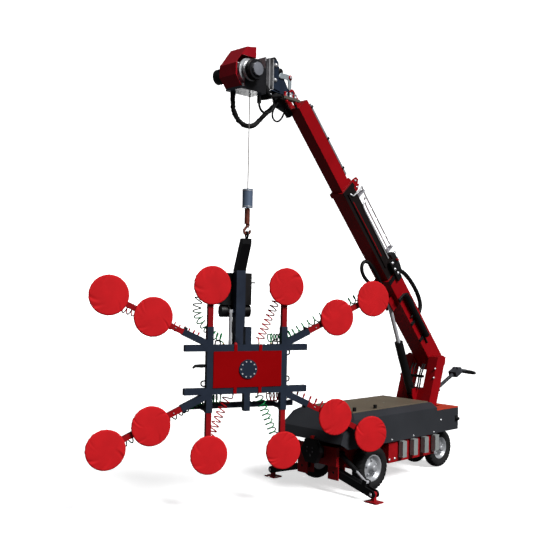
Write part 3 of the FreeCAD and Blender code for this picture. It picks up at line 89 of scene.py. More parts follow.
# Vertex (i, j) of the bowl is (out_i cos t_j, out_i sin t_j, rise_i), t_j = 2 pi j / WALL_STEPS.
FLOOR_RADIUS, SWEEP_RADIUS, WALL_HEIGHT, WALL_STEPS, SWEEP_STEPS = 17.0, 5.0, 16.0, 96, 12
sweep = np.linspace(0, math.pi / 2, SWEEP_STEPS)
bowl_out = np.concatenate(([0.0], FLOOR_RADIUS + SWEEP_RADIUS * np.sin(sweep), [FLOOR_RADIUS + SWEEP_RADIUS]))
bowl_rise = np.concatenate(([0.0], SWEEP_RADIUS * (1 - np.cos(sweep)), [WALL_HEIGHT]))
around = np.arange(WALL_STEPS) * 2 * math.pi / WALL_STEPS
bowl = np.stack([np.outer(bowl_out, np.cos(around)), np.outer(bowl_out, np.sin(around)),
                 np.repeat(bowl_rise, WALL_STEPS).reshape(-1, WALL_STEPS)], -1)
ring, step = np.mgrid[:len(bowl_out) - 1, :WALL_STEPS]
here, after = ring * WALL_STEPS + step, ring * WALL_STEPS + (step + 1) % WALL_STEPS
bowl_faces = np.stack([here, here + WALL_STEPS, after + WALL_STEPS, after], -1).reshape(-1, 4)
floor_mesh = bpy.data.meshes.new("floor")
floor_mesh.from_pydata(bowl.reshape(-1, 3).tolist(), [], bowl_faces.tolist())
floor_mesh.polygons.foreach_set("use_smooth", [True] * len(bowl_faces))
floor = bpy.data.objects.new("floor", floor_mesh)
scene.collection.objects.link(floor)
floor_paint = bpy.data.materials.new("floor_paint")
floor_paint.use_nodes = True
floor_shader = floor_paint.node_tree.nodes["Principled BSDF"]
floor_shader.inputs["Base Color"].default_value = (0.93, 0.93, 0.93, 1)
floor_shader.inputs["Roughness"].default_value = 0.95
floor_shader.inputs["Emission Color"].default_value = (1, 1, 1, 1)
floor_shader.inputs["Emission Strength"].default_value = 0.62
floor_mesh.materials.append(floor_paint)
floor.visible_diffuse = False
floor.visible_glossy = False
floor.visible_shadow = False
lamps = (("key", (0.74, -0.02, 0.67), 4.1, 25), ("fill", (0.2, -0.8, 0.45), 0.03, 60),
         ("back", (ahead.x, ahead.y, -0.01), 1.1, 4))
for name, way, power, spread in lamps:
    lamp = bpy.data.objects.new(name, bpy.data.lights.new(name, "SUN"))
    lamp.data.energy = power
    lamp.data.angle = math.radians(spread)
    lamp.rotation_euler = (-Vector(way)).to_track_quat("-Z", "Y").to_euler()
    scene.collection.objects.link(lamp)


# Chassis: a channel welded from steel plate, in red enamel, that carries all the other pieces, with
# plated bolts through its sides.
def shader_nodes(name):
    """A new node material, its tree, its shader and the object's own coordinates."""
    material = bpy.data.materials.new(name)
    material.use_nodes = True
    tree = material.node_tree
    coords = tree.nodes.new("ShaderNodeTexCoord")
    return material, tree, tree.nodes["Principled BSDF"], coords.outputs["Object"]


def wire(tree, node, **sockets):
    """Fills a node's inputs, or a new node's of that kind: values are written and outputs linked."""
    if isinstance(node, str):
        node = tree.nodes.new("ShaderNode" + node)
    for label, given in sockets.items():
        socket = node.inputs[label.replace("_", " ")]
        if isinstance(given, bpy.types.NodeSocket):
            tree.links.new(given, socket)
        else:
            socket.default_value = given
    return node


def reckon(tree, kind, operation, given, number):
    """The value of a Math or VectorMath node on a linked input and a number."""
    node = tree.nodes.new("ShaderNode" + kind)
    node.operation = operation
    node.inputs[1].default_value = number
    tree.links.new(given, node.inputs[0])
    return node.outputs["Value"]


def two_shades(tree, factor, places, shades):
    """The colour of a ramp with two shades at two places along the factor."""
    ramp = wire(tree, "ValToRGB", Fac=factor)
    for element, place, shade in zip(ramp.color_ramp.elements, places, shades):
        element.position = place
        element.color = [*shade, 1]
    return ramp.outputs["Color"]


def coated(name, colour, metallic=0.0, rough=0.4, spread=0.16, cloud=5.0, grain=420.0, bump=0.12, shine=0.2,
           zones=()):
    """Paint, plastic or metal: clouded colour and roughness, and a fine grain in the bump.

    Each zone is (way, limit, colour, metallic): where the place along way passes limit, the zone's
    colour and metal take over, later zones over earlier ones.
    """
    material, tree, shader, place = shader_nodes(name)
    clouds = wire(tree, "TexNoise", Vector=place, Scale=cloud, Detail=6, Roughness=0.62).outputs["Fac"]

    def clouded(tint):
        """The tint, darker and lighter by spread as the clouds go."""
        dark, light = [c * (1 - spread) for c in tint], [min(1, c * (1 + spread)) for c in tint]
        return two_shades(tree, clouds, (0.32, 0.68), (dark, light))

    shown, metal_shown = clouded(colour), metallic
    metals_differ = any(metal != metallic for _, _, _, metal in zones)
    for way, limit, tint, metal in zones:
        along = reckon(tree, "VectorMath", "DOT_PRODUCT", place, way)
        past = reckon(tree, "Math", "GREATER_THAN", along, limit)
        shown = wire(tree, "MixRGB", Fac=past, Color1=shown, Color2=clouded(tint)).outputs["Color"]
        if metals_differ:
            metal_shown = wire(tree, "Mix", Factor=past, A=metal_shown, B=metal).outputs["Result"]
    gloss = wire(tree, "MapRange", Value=clouds, To_Min=rough * 0.75, To_Max=min(1, rough * 1.25))
    fine = wire(tree, "TexNoise", Vector=place, Scale=grain, Detail=2)
    relief = wire(tree, "Bump", Strength=bump, Distance=0.001, Height=fine.outputs["Fac"])
    wire(tree, shader, Base_Color=shown, Metallic=metal_shown, Specular_IOR_Level=0.5 if metallic else shine,
         Roughness=gloss.outputs["Result"], Normal=relief.outputs["Normal"])
    return material


def dress(node, material, bevel=0.002):
    """Gives a CAD node its material and, where it has sharp edges, a small rounding on them."""
    piece = nodes[node]
    piece.data.materials.clear()
    piece.data.materials.append(material)
    if bevel:
        edge = piece.modifiers.new("edge", "BEVEL")
        edge.width = bevel
        edge.segments = 2
        edge.limit_method = "ANGLE"
        edge.angle_limit = math.radians(40)
    return piece


def mesh_piece(name, points, rounded, flat, material):
    """An object from an array of points and lists of faces, doubles merged and faces outwards."""
    mesh = bpy.data.meshes.new(name)
    mesh.from_pydata(points.reshape(-1, 3).tolist(), [], rounded + flat)
    mesh.polygons.foreach_set("use_smooth", [True] * len(rounded) + [False] * len(flat))
    build = bmesh.new()
    build.from_mesh(mesh)
    bmesh.ops.remove_doubles(build, verts=build.verts, dist=1e-6)
    bmesh.ops.recalc_face_normals(build, faces=build.faces)
    build.to_mesh(mesh)
    build.free()
    mesh.materials.append(material)
    piece = bpy.data.objects.new(name, mesh)
    scene.collection.objects.link(piece)
    return piece


def ring_faces(rows, segments):
    """The quads between rings: (i, j), (i, j - 1), (i + 1, j - 1), (i + 1, j), with j round the ring."""
    row, col = np.mgrid[:rows - 1, :segments]
    here, before = row * segments + col, row * segments + (col - 1) % segments
    return np.stack([here, before, before + segments, here + segments], -1).reshape(-1, 4).tolist()


def turned(name, profile, centre, axis, material, body, segments=48, ripple=None):
    """A surface of revolution: row i of profile is (distance along axis, radius).

    Vertex (i, j) is centre + d_i axis + r_i (cos t_j a + sin t_j b), with t_j = 2 pi j / segments,
    where a and b complete a right-handed frame with axis; ripple(i, t) adds to the radius. A profile
    that comes back to its first row makes a ring; another gets flat ends.
    """
    axis = Vector(axis).normalized()
    first = axis.orthogonal().normalized()
    angles = np.linspace(0, 2 * math.pi, segments, endpoint=False)
    spokes = np.outer(np.cos(angles), first) + np.outer(np.sin(angles), axis.cross(first))
    along, reach = np.array(profile).T[:, :, None]
    if ripple:
        reach = reach + ripple(np.arange(len(profile))[:, None], angles)
    points = np.array(centre) + along[..., None] * np.array(axis) + reach[..., None] * spokes
    points = np.broadcast_to(points, (len(profile), segments, 3))
    ends = () if profile[0] == profile[-1] else (0, len(profile) - 1)
    caps = [list(range(row * segments, (row + 1) * segments)) for row in ends if profile[row][1] > 1e-5]
    piece = mesh_piece(name, points, ring_faces(len(profile), segments), caps, material)
    if body:
        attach(piece, body)
    return piece


def bolt(name, centre, axis, material, body, radius=0.009):
    """A bolt: a washer 1.5 radii wide and a six-sided head, turned about axis, standing on centre."""
    profile = [(-0.001, radius * 1.5), (0.0015, radius * 1.5), (0.002, radius), (0.007, radius), (0.009, 0)]
    return turned(name, profile, centre, axis, material, body, 6)


chassis_red = coated("chassis_red", (0.29, 0.005, 0.008), rough=0.42, spread=0.25)
dress("chassis_frame", chassis_red)
plated = coated("plated", (0.62, 0.63, 0.65), metallic=0.45, rough=0.33, spread=0.15, cloud=12)
CHASSIS_SIDE, CHASSIS_BOLT_Z = 0.345, 0.245
for side in (-1, 1):
    for index, y in enumerate((0.42, 0.5, 1.1)):
        seat = side * CHASSIS_SIDE, y, CHASSIS_BOLT_Z
        bolt(f"chassis_bolt_{side}_{index}", seat, (side, 0, 0), plated, "chassis")


# Wheels: black rubber tyres with a block tread, each on a dished silver rim with a bolt ring.
# The tyre and the rim are turned from profiles about the axle.
def box_of(node):
    """The low and high corners of a CAD node's box."""
    return [Vector(corner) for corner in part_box(node)]


tyre_black = coated("tyre_black", (0.011, 0.011, 0.0115), rough=0.75, spread=0.35, cloud=14, bump=0.35)
rim_silver = coated("rim_silver", (0.40, 0.41, 0.43), metallic=0.3, rough=0.36, spread=0.14, cloud=9)
TREAD_BLOCKS, TREAD_DEPTH, GROOVE_SHARE = 30, 0.008, 0.32
NUTS, NUT_CIRCLE, NUT_TURN = 5, 0.068, 0.3
crown = np.linspace(-1, 1, 9)
for wheel in ("front_left", "front_right", "rear_left", "rear_right"):
    low, high = box_of(wheel + "_wheel")
    hub = (low + high) / 2
    side = 1 if hub.x > 0 else -1
    radius, width = (high.z - low.z) / 2, high.x - low.x
    bead = radius * 0.56
    wall = [(-0.36, bead), (-0.44, bead + 0.012), (-0.49, bead + 0.034), (-0.5, radius - 0.05),
            (-0.47, radius - 0.02)]
    tread = [(0.44 * c, radius - 0.012 * c * c) for c in crown]
    profile = wall + tread + [(-along, reach) for along, reach in reversed(wall)] + wall[:1]
    tyre_profile = [(along * width, reach) for along, reach in profile]

    def tread_ripple(row, angle):
        """-TREAD_DEPTH where frac(t blocks / 2 pi + |c| / 2) < GROOVE_SHARE on crown row c, or c = 0."""
        place = row - len(wall)
        on_crown = (place >= 0) & (place < len(crown))
        lean = 0.5 * np.abs(crown[np.clip(place, 0, len(crown) - 1)])
        phase = (angle * TREAD_BLOCKS / (2 * math.pi) + lean) % 1.0
        groove = (phase < GROOVE_SHARE) | (place == len(crown) // 2)
        return np.where(on_crown & groove, -TREAD_DEPTH, 0.0)

    tyre = turned(wheel + "_tyre", tyre_profile, hub, (side, 0, 0), tyre_black, wheel + "_wheel", 240,
                  tread_ripple)
    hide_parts(wheel + "_wheel")
    face_at = width * 0.5 - 0.012
    rim_profile = [(face_at + along, reach) for along, reach in (
        (-2 * face_at, bead - 0.014), (-2 * face_at, bead + 0.004), (0.006 - 2 * face_at, bead + 0.006),
        (-face_at, bead - 0.016), (-0.006, bead + 0.006), (0, bead + 0.004), (-0.004, bead - 0.008),
        (-0.03, bead - 0.018), (-0.036, bead * 0.72), (-0.026, bead * 0.55), (-0.022, 0.046), (-0.012, 0.04),
        (0.004, 0.034), (0.024, 0.030), (0.028, 0.024), (0.028, 0.0))]
    turned(wheel + "_rim", rim_profile, hub, (side, 0, 0), rim_silver, wheel + "_wheel", 64)
    for index in range(NUTS):
        turn = 2 * math.pi * index / NUTS + NUT_TURN
        spoke = Vector((0, math.cos(turn), math.sin(turn)))
        seat = hub + Vector((side * (face_at - 0.025), 0, 0)) + spoke * NUT_CIRCLE
        turned(f"{wheel}_nut_{index}", [(0, 0.011), (0.01, 0.011), (0.013, 0.008), (0.013, 0.0)], seat,
               (side, 0, 0), rim_silver, wheel + "_wheel", 6)

# Steering bogie, welded steel in black enamel on its kingpin, and the tiller that turns it: a black
# arm and loop grip with a grey moulded head.
black_enamel = coated("black_enamel", (0.007, 0.007, 0.0075), rough=0.36, spread=0.3)
dress("steer_bogie", black_enamel)
head_start = joints["tiller_tilt"]["pos_m"][1] + 0.30
tiller_zones = (((0, 1, 0), head_start, (0.045, 0.047, 0.055), 0.0),
                ((0, 1, 0), head_start + 0.2, (0.009, 0.009, 0.01), 0.0))
tiller_black = coated("tiller_black", (0.03, 0.03, 0.034), rough=0.45, spread=0.3, zones=tiller_zones)
dress("tiller", tiller_black, 0.003)

# Stabilizers: folding box legs in black enamel with red pads, black cylinders and chromed rods, and
# a plated bolt at each ankle.
pad_red = coated("pad_red", (0.30, 0.008, 0.012), rough=0.35, spread=0.25)
chrome = coated("chrome", (0.74, 0.75, 0.79), metallic=0.5, rough=0.14, spread=0.05, bump=0.03)
for hand, side in (("left", 1), ("right", -1)):
    dress(f"stabilizer_{hand}_leg", black_enamel, 0.003)
    dress(f"stabilizer_{hand}_foot", pad_red)
    dress(f"stabilizer_{hand}_barrel", black_enamel)
    dress(f"stabilizer_{hand}_rod", chrome, 0)
    ankle = Vector(joints[f"stabilizer_{hand}_ankle"]["pos_m"])
    leg_low = Vector(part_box(f"stabilizer_{hand}_leg")[0])
    bolt(f"ankle_bolt_{hand}", (ankle.x, leg_low.y, ankle.z), (0, -1, 0), plated, f"stabilizer_{hand}_leg",
         0.012)


# Body: anthracite powder-coated sheet over the chassis, with a brown-grey deck lid, dark battery
# pack, cast ballast bars, a black control box with its red stop button, and a rotary switch.
def plate(name, outline, origin, across, upwards, thickness, material, body, bevel=0.0015):
    """A plate: outline point (u, v) lies at origin + u across + v upwards, made thick both ways."""
    across, upwards = (np.array(Vector(way).normalized()) for way in (across, upwards))
    half = np.cross(across, upwards) * thickness / 2
    middle = np.array(origin) + np.array(outline) @ np.stack([across, upwards])
    count = len(outline)
    faces = [list(range(count)), list(range(count, 2 * count))] + ring_faces(2, count)
    piece = mesh_piece(name, np.concatenate([middle - half, middle + half]), [], faces, material)
    edge = piece.modifiers.new("edge", "BEVEL")
    edge.width = bevel
    edge.segments = 2
    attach(piece, body)
    return piece


def rectangle(left, right, low, high):
    """The four corners of a plate's outline."""
    return [(left, low), (right, low), (right, high), (left, high)]


body_grey = coated("body_grey", (0.030, 0.032, 0.037), rough=0.40, spread=0.1, cloud=2.2)
dress("body_cover", body_grey, 0.004)
dress("rear_housing", body_grey, 0.003)
control_black = coated("control_black", (0.007, 0.007, 0.0075), rough=0.42, spread=0.3)
knob_zone = (((0, 0, 1), 0.7145, (0.008, 0.008, 0.008), 0.0),)
deck_brown = coated("deck_brown", (0.15, 0.12, 0.085), rough=0.42, spread=0.14, cloud=3.5, zones=knob_zone)
dress("deck_lid", deck_brown, 0.003)
dress("battery_pack", control_black, 0.004)
ballast_grey = coated("ballast_grey", (0.24, 0.26, 0.255), rough=0.5, spread=0.12, cloud=9, bump=0.3)
dress("ballast_bars", ballast_grey, 0.003)
dress("control_box", control_black, 0.004)
dress("stop_button", coated("stop_red", (0.5, 0.012, 0.012), rough=0.25, spread=0.1), 0.003)
dress("rear_lid", coated("lid_red", (0.5, 0.045, 0.017), rough=0.38, spread=0.12, cloud=3), 0.003)
housing_low, housing_high = box_of("rear_housing")
body_high = Vector(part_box("body_cover")[1])
switch_seat = Vector((housing_high.x, housing_high.y - 0.034, 0.52))
plate("switch_plate", rectangle(-0.024, 0.024, -0.03, 0.03),
      switch_seat + Vector((0.002, 0, 0)), (0, 1, 0), (0, 0, 1), 0.004, control_black, "chassis")
turned("switch_knob", [(0, 0.021), (0.012, 0.021), (0.014, 0.018), (0.03, 0.015), (0.034, 0.012), (0.034, 0)],
       switch_seat, (1, 0, 0), control_black, "chassis", 24, lambda row, t: 0.0012 * np.cos(8 * t))
bolt("housing_lock", (housing_high.x, housing_low.y + 0.09, 0.53), (1, 0, 0), plated, "chassis", 0.008)
for index, y in enumerate((0.42, 0.75, 1.08)):
    bolt(f"body_screw_{index}", (body_high.x, y, 0.43), (1, 0, 0), plated, "chassis", 0.006)
box_low, box_high = box_of("control_box")
box_middle = (box_low + box_high) / 2
button_grey = coated("button_grey", (0.10, 0.10, 0.11), rough=0.5)
for index, (x, z) in enumerate(((-0.035, 0.03), (0.03, 0.03), (-0.035, -0.005), (0.03, -0.005), (0, -0.04))):
    turned(f"box_button_{index}", [(0, 0.008), (0.005, 0.008), (0.007, 0.006), (0.007, 0.0)],
           (box_middle.x + x, box_low.y - 0.0005, box_middle.z + z), (0, -1, 0), button_grey, "chassis", 16)


# Column and lift cylinder: red enamel posts with plated bolts, a black barrel, a grey rod, and the
# hydraulic lines that climb between the posts.
def spline_along(name, route, steps):
    """A bare curve on a NURBS spline whose control points are route, and the points along its line."""
    curve = bpy.data.curves.new(name, "CURVE")
    curve.dimensions = "3D"
    spline = curve.splines.new("NURBS")
    spline.points.add(len(route) - 1)
    for point, place in zip(spline.points, route):
        point.co = (*place, 1)
    spline.order_u = 3
    spline.use_endpoint_u = True
    curve.resolution_u = steps
    line = bpy.data.objects.new(name + "_line", curve)
    path_mesh = bpy.data.meshes.new_from_object(line)
    points = np.empty(3 * len(path_mesh.vertices))
    path_mesh.vertices.foreach_get("co", points)
    path = [Vector(place) for place in points.reshape(-1, 3)]
    bpy.data.meshes.remove(path_mesh)
    return line, path


def hose_along(name, route, radius, material, sides=10, steps=4):
    """A tube mesh along the route's spline, and the points along its line."""
    line, path = spline_along(name, route, steps)
    line.data.bevel_depth = radius
    line.data.bevel_resolution = sides // 2 - 1
    line.data.use_fill_caps = True
    mesh = bpy.data.meshes.new_from_object(line)
    bpy.data.objects.remove(line)
    mesh.polygons.foreach_set("use_smooth", [True] * len(mesh.polygons))
    mesh.materials.clear()
    mesh.materials.append(material)
    piece = bpy.data.objects.new(name, mesh)
    scene.collection.objects.link(piece)
    return piece, path


def pipe(name, route, radius, material, body):
    """A clamped pipe or hose that rides one body, along a spline through its bends."""
    piece, _ = hose_along(name, [Vector(place) for place in route], radius, material, 12, 6)
    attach(piece, body)
    return piece


BOOM_RED = (0.27, 0.002, 0.005)
boom_red = coated("boom_red", BOOM_RED, rough=0.30, spread=0.12, cloud=3)
dress("column", boom_red, 0.004)
dress("lift_barrel", black_enamel)
dress("lift_rod", chrome, 0)
boom_pivot = Vector(joints["luff"]["pos_m"])
for side in (-1, 1):
    for index, (y, z) in enumerate(((-0.125, -0.07), (-0.145, -0.16))):
        seat = side * 0.205, boom_pivot.y + y, boom_pivot.z + z
        bolt(f"column_bolt_{side}_{index}", seat, (side, 0, 0), plated, "chassis", 0.008)
rubber_black = coated("rubber_black", (0.006, 0.006, 0.0065), rough=0.6, spread=0.35, cloud=40, bump=0.25)
for index, x in enumerate((-0.07, -0.035, 0.05, 0.075)):
    climb = [(x, 1.235, 0.80), (x, 1.26, 0.86), (x * 0.9, 1.285, 0.95), (x * 1.05, 1.30, 1.0),
             (x, 1.335, 1.05)]
    pipe(f"column_line_{index}", climb, 0.008, rubber_black, "chassis")
plate("column_line_clip", rectangle(-0.094, 0.094, -0.012, 0.012), (0, 1.283, 0.93), (1, 0, 0), (0, 0, 1),
      0.03, black_enamel, "chassis")

# Boom: three red sections of box tube. The base carries a black side cylinder and the valve block,
# the middle section a black side cover and bent pipes, and the inner one a thin grey line.
elevation = math.radians(48.5)
boom_way = Vector((0, -math.cos(elevation), math.sin(elevation)))
boom_up = Vector((0, math.sin(elevation), math.cos(elevation)))
BOOM_AXIS_RISE = 0.055


def on_boom(x, along, rise):
    """A point of the boom: x to its left, along it from its pivot, rise above the sections' axis."""
    return Vector((x, boom_pivot.y, boom_pivot.z)) + boom_way * along + boom_up * (BOOM_AXIS_RISE + rise)


def boom_plate(name, outline, x, thickness, material, body, bevel=0.0015):
    """A plate along the boom: outline point (along, rise) lies at on_boom(x, along, rise)."""
    return plate(name, outline, on_boom(x, 0, 0), boom_way, boom_up, thickness, material, body, bevel)


def hose(name, route, radius, material, body):
    """A free hose with both ends on one body."""
    piece, path = hose_along(name, [Vector(place) for place in route], radius, material, 16, 8)
    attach(piece, body)
    return piece


base_zone = (((1, 0, 0), 0.0906, (0.006, 0.006, 0.0065), 0.0),)
mid_zone = (((1, 0, 0), 0.0745, (0.010, 0.007, 0.007), 0.0),)
# The inner section's bottom face, below its axis by half its depth, is painted near-black: painted shade, the
# shade that falls under the boom.
INNER_HALF_DEPTH = 0.0685
inner_under = -(boom_pivot.dot(boom_up) + BOOM_AXIS_RISE - INNER_HALF_DEPTH)
inner_underside_shade = ((tuple(-boom_up), inner_under, (0.008, 0.008, 0.009), 0.0),)
for section, zones in (("base", base_zone), ("mid", mid_zone), ("inner", inner_underside_shade)):
    section_red = coated(section + "_red", BOOM_RED, rough=0.30, spread=0.12, cloud=3, zones=zones)
    dress("boom_" + section, section_red, 0.003)
line_grey = coated("line_grey", (0.36, 0.37, 0.40), metallic=0.3, rough=0.32, spread=0.12, cloud=30)
inner_line = [on_boom(0.05, along, 0.082) for along in (2.24, 2.6, 2.99)]
pipe("inner_line", inner_line, 0.012, line_grey, "boom_inner")
for index, along in enumerate((2.3, 2.62, 2.95)):
    outline = rectangle(along, along + 0.02, 0.066, 0.098)
    boom_plate(f"inner_clip_{index}", outline, 0.05, 0.03, black_enamel, "boom_inner")
mid_lug = [(2.02, 0.079), (2.03, 0.14), (2.06, 0.185), (2.075, 0.17), (2.10, 0.205), (2.135, 0.19),
           (2.144, 0.14), (2.144, 0.079)]
for side in (-1, 1):
    boom_plate(f"mid_lug_{side}", mid_lug, side * 0.045, 0.012, boom_red, "boom_mid")
    for index, (along, rise) in enumerate(((2.055, 0.14), (2.115, 0.16))):
        seat = on_boom(side * 0.052, along, rise)
        bolt(f"mid_lug_bolt_{side}_{index}", seat, (side, 0, 0), plated, "boom_mid", 0.008)
MID_PIPE_RADIUS = 0.0065
mid_pipes = {
    "first": ((0.078, 2.085, -0.012), (0.094, 2.07, -0.01), (0.094, 2.045, 0.0), (0.094, 2.04, 0.15),
              (0.07, 2.035, 0.185), (0.055, 1.96, 0.185), (0.055, 1.6, 0.185), (0.055, 1.29, 0.185)),
    "second": ((0.092, 1.28, 0.04), (0.092, 1.6, 0.047), (0.092, 1.87, 0.053), (0.092, 1.90, 0.06),
               (0.09, 1.925, 0.14), (0.06, 1.92, 0.155), (0.03, 1.86, 0.155), (0.03, 1.6, 0.155),
               (0.03, 1.29, 0.155))}
for order, bends in mid_pipes.items():
    pipe("mid_pipe_" + order, [on_boom(*bend) for bend in bends], MID_PIPE_RADIUS, plated, "boom_mid")
for index, along in enumerate((1.30, 1.97)):
    outline = rectangle(along, along + 0.012, 0.079, 0.2)
    boom_plate(f"mid_post_{index}", outline, 0.042, 0.05, line_grey, "boom_mid")
boom_plate("mid_seam", rectangle(1.36, 2.0, -0.03, -0.023), 0.0872, 0.003, boom_red, "boom_mid", 0.0005)
block_black = coated("block_black", (0.012, 0.012, 0.013), rough=0.4, spread=0.3)
valve_block = [(1.03, 0.1035), (1.27, 0.1035), (1.27, 0.15), (1.22, 0.172), (1.12, 0.172), (1.03, 0.15)]
boom_plate("valve_block", valve_block, 0.035, 0.085, block_black, "boom_base", 0.003)
valve_cap = [(0, 0.016), (0.014, 0.016), (0.016, 0.012), (0.03, 0.012), (0.032, 0.009), (0.032, 0)]
for index, (along, x) in enumerate(((1.235, 0.062), (1.2, 0.015), (1.16, 0.055), (1.13, 0.02))):
    turned(f"valve_cap_{index}", valve_cap, on_boom(x, along, 0.165), boom_up, plated, "boom_base", 6)
turned("valve_lever", [(0, 0.009), (0.012, 0.012), (0.03, 0.012), (0.034, 0.0)], on_boom(0.075, 1.18, 0.14),
       (1, 0, 0), pad_red, "boom_base", 16)
boom_plate("side_block", [(1.02, 0.0), (1.25, 0.005), (1.25, 0.062), (1.2, 0.075), (1.02, 0.07)], 0.108, 0.02,
           black_enamel, "boom_base", 0.003)
for index, (along, rise) in enumerate(((1.22, 0.038), (1.15, 0.03), (1.09, 0.045))):
    bolt(f"side_block_bolt_{index}", on_boom(0.118, along, rise), (1, 0, 0), plated, "boom_base", 0.011)
hose("boom_top_hose", [on_boom(0.04, along, rise) for along, rise in (
    (1.085, 0.122), (1.0, 0.18), (0.90, 0.215), (0.78, 0.235), (0.66, 0.235), (0.56, 0.215), (0.50, 0.165),
    (0.485, 0.096))], 0.021, rubber_black, "boom_base")
hose("boom_under_hose", [on_boom(0.0, along, rise) for along, rise in (
    (1.09, -0.103), (1.1, -0.15), (1.15, -0.212), (1.23, -0.257), (1.32, -0.272), (1.395, -0.25),
    (1.425, -0.19), (1.385, -0.135), (1.3, -0.112), (1.2, -0.11), (1.11, -0.11))], 0.017, rubber_black,
    "boom_base")
pipe("base_loop", [on_boom(*bend) for bend in (
    (0.118, 0.88, -0.115), (0.118, 0.88, -0.02), (0.118, 0.83, 0.025), (0.118, 0.74, 0.045),
    (0.118, 0.66, 0.03), (0.112, 0.61, -0.01), (0.1, 0.60, -0.06))], 0.010, rubber_black, "boom_base")
pipe("base_line", [on_boom(0.1, along, rise) for along, rise in (
    (0.70, 0.025), (0.6, 0.0), (0.4, -0.012), (0.22, -0.02))], 0.009, rubber_black, "boom_base")
edge_line = [on_boom(0.06, along, 0.106) for along in (1.0, 0.5, 0.06)]
pipe("base_edge_line", edge_line, 0.011, line_grey, "boom_base")
for index, along in enumerate((0.3, 0.52, 0.83)):
    outline = rectangle(along, along + 0.03, -0.1, 0.01)
    boom_plate(f"base_clamp_{index}", outline, 0.097, 0.016, black_enamel, "boom_base")

# Winch head: a dark blue bracket with plated links, a plate stack, tray, drum, black motor with a
# grey cap, and gearbox, under a folded hood in dark red enamel.
head_blue = coated("head_blue", (0.016, 0.024, 0.042), rough=0.34, spread=0.2)
dress("head_bracket", head_blue, 0.003)
dress("winch_hood", coated("hood_red", (0.30, 0.004, 0.011), rough=0.34, spread=0.12, cloud=3))
unit_high = Vector(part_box("winch_unit")[1])
TRAY_TOP, MOTOR_LENGTH, CAP_LENGTH = 3.4162, 0.084, 0.020
cap_x = unit_high.x - CAP_LENGTH
motor_x = cap_x - MOTOR_LENGTH
unit_zones = (((0, 0, -1), -TRAY_TOP, (0.05, 0.06, 0.085), 0.0),
              ((1, 0, 0), motor_x - 0.002, (0.008, 0.008, 0.01), 0.1),
              ((1, 0, 0), cap_x + 0.001, (0.21, 0.22, 0.25), 0.2),
              ((-1, 0, 0), motor_x + 0.0005, (0.008, 0.008, 0.009), 0.1))
dress("winch_unit", coated("winch_metal", (0.40, 0.40, 0.41), metallic=0.4, rough=0.36, spread=0.22, cloud=12,
                           zones=unit_zones))
dress("winch_drum", plated)
drum = Vector(joints["drum_turn"]["pos_m"])
MOTOR_RIBS, BRIGHT_RIBS, RIB_PITCH, CAP_FINS = 5, 2, 0.014, 10
motor_rib = [(0, 0.074), (0, 0.0835), (0.002, 0.085), (0.006, 0.085), (0.008, 0.0835), (0.008, 0.074)]
for index in range(MOTOR_RIBS):
    seat = motor_x + 0.008 + index * RIB_PITCH, drum.y, drum.z
    turned(f"motor_rib_{index}", motor_rib, seat, (1, 0, 0), plated if index < BRIGHT_RIBS else black_enamel,
           "winch_head", 48)
for index in range(CAP_FINS):
    turn = 2 * math.pi * index / CAP_FINS
    plate(f"motor_fin_{index}", rectangle(0, 0.017, 0.048, 0.0545), (cap_x + 0.0015, drum.y, drum.z),
          (1, 0, 0), (0, math.cos(turn), math.sin(turn)), 0.012, line_grey, "winch_head")
plates_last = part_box("head_bracket")[0][1]
BRACKET_FACE_X, BRACKET_FACE_THICK = 0.0425, 0.008
bracket_face = [(plates_last + y, z) for y, z in (
    (0.012, 3.476), (0.112, 3.458), (0.088, 3.6), (0.084, 3.7), (0.07, 3.716), (0.04, 3.716), (0.026, 3.7))]
for side in (-1, 1):
    plate(f"bracket_face_{side}", bracket_face, (side * BRACKET_FACE_X, 0, 0), (0, 1, 0), (0, 0, 1),
          BRACKET_FACE_THICK, head_blue, "winch_head", 0.002)
turned("gear_cover", [(0, 0.05), (0, 0.06), (0.004, 0.064), (0.08, 0.064), (0.086, 0.058), (0.086, 0)],
       (-motor_x - 0.009, rope_y - 0.185, 3.522), (-1, 0, 0), black_enamel, "winch_head")
bracket_bolt = [(0, 0.018), (0.003, 0.018), (0.004, 0.014), (0.012, 0.013), (0.015, 0.009), (0.015, 0)]
for index, (y, z) in enumerate(((0.052, 3.672), (0.046, 3.545))):
    seat = BRACKET_FACE_X + BRACKET_FACE_THICK / 2, plates_last + y, z
    turned(f"bracket_bolt_{index}", bracket_bolt, seat, (1, 0, 0), plated, "winch_head", 20)
turned("bracket_roller", [(0, 0.026), (0.002, 0.03), (0.07, 0.03), (0.072, 0.026), (0.072, 0)],
       (-0.036, plates_last + 0.048, 3.712), (1, 0, 0), black_enamel, "winch_head", 32)
turned("bracket_stop", [(0, 0.023), (0.002, 0.027), (0.088, 0.027), (0.09, 0.024), (0.09, 0)],
       (-0.045, plates_last + 0.115, 3.632), (1, 0, 0), black_enamel, "winch_head", 32)
head_link = [(-0.81, 3.585), (-0.79, 3.62), (-0.705, 3.622), (-0.675, 3.617), (-0.655, 3.598), (-0.657, 3.50),
             (-0.672, 3.482), (-0.687, 3.497), (-0.697, 3.575), (-0.79, 3.573)]
for side in (-1, 1):
    link_silver = coated(f"link_silver_{side}", (0.40, 0.45, 0.48), metallic=0.45, rough=0.4)
    plate(f"head_link_{side}", head_link, (side * 0.043, 0, 0), (0, 1, 0), (0, 0, 1), 0.012, link_silver,
          "winch_head", 0.003)
    pin = side * 0.048, -0.674, 3.598
    turned(f"link_pin_{side}", [(0, 0.021), (0.006, 0.021), (0.006, 0.013), (0.010, 0.013), (0.010, 0)], pin,
           (side, 0, 0), pad_red, "winch_head", 28)
    turned(f"link_pin_middle_{side}", [(0, 0.011), (0.013, 0.011), (0.014, 0.009), (0.014, 0)], pin,
           (side, 0, 0), plated, "winch_head", 24)
link_red = coated("link_red", (0.42, 0.008, 0.012), rough=0.3)
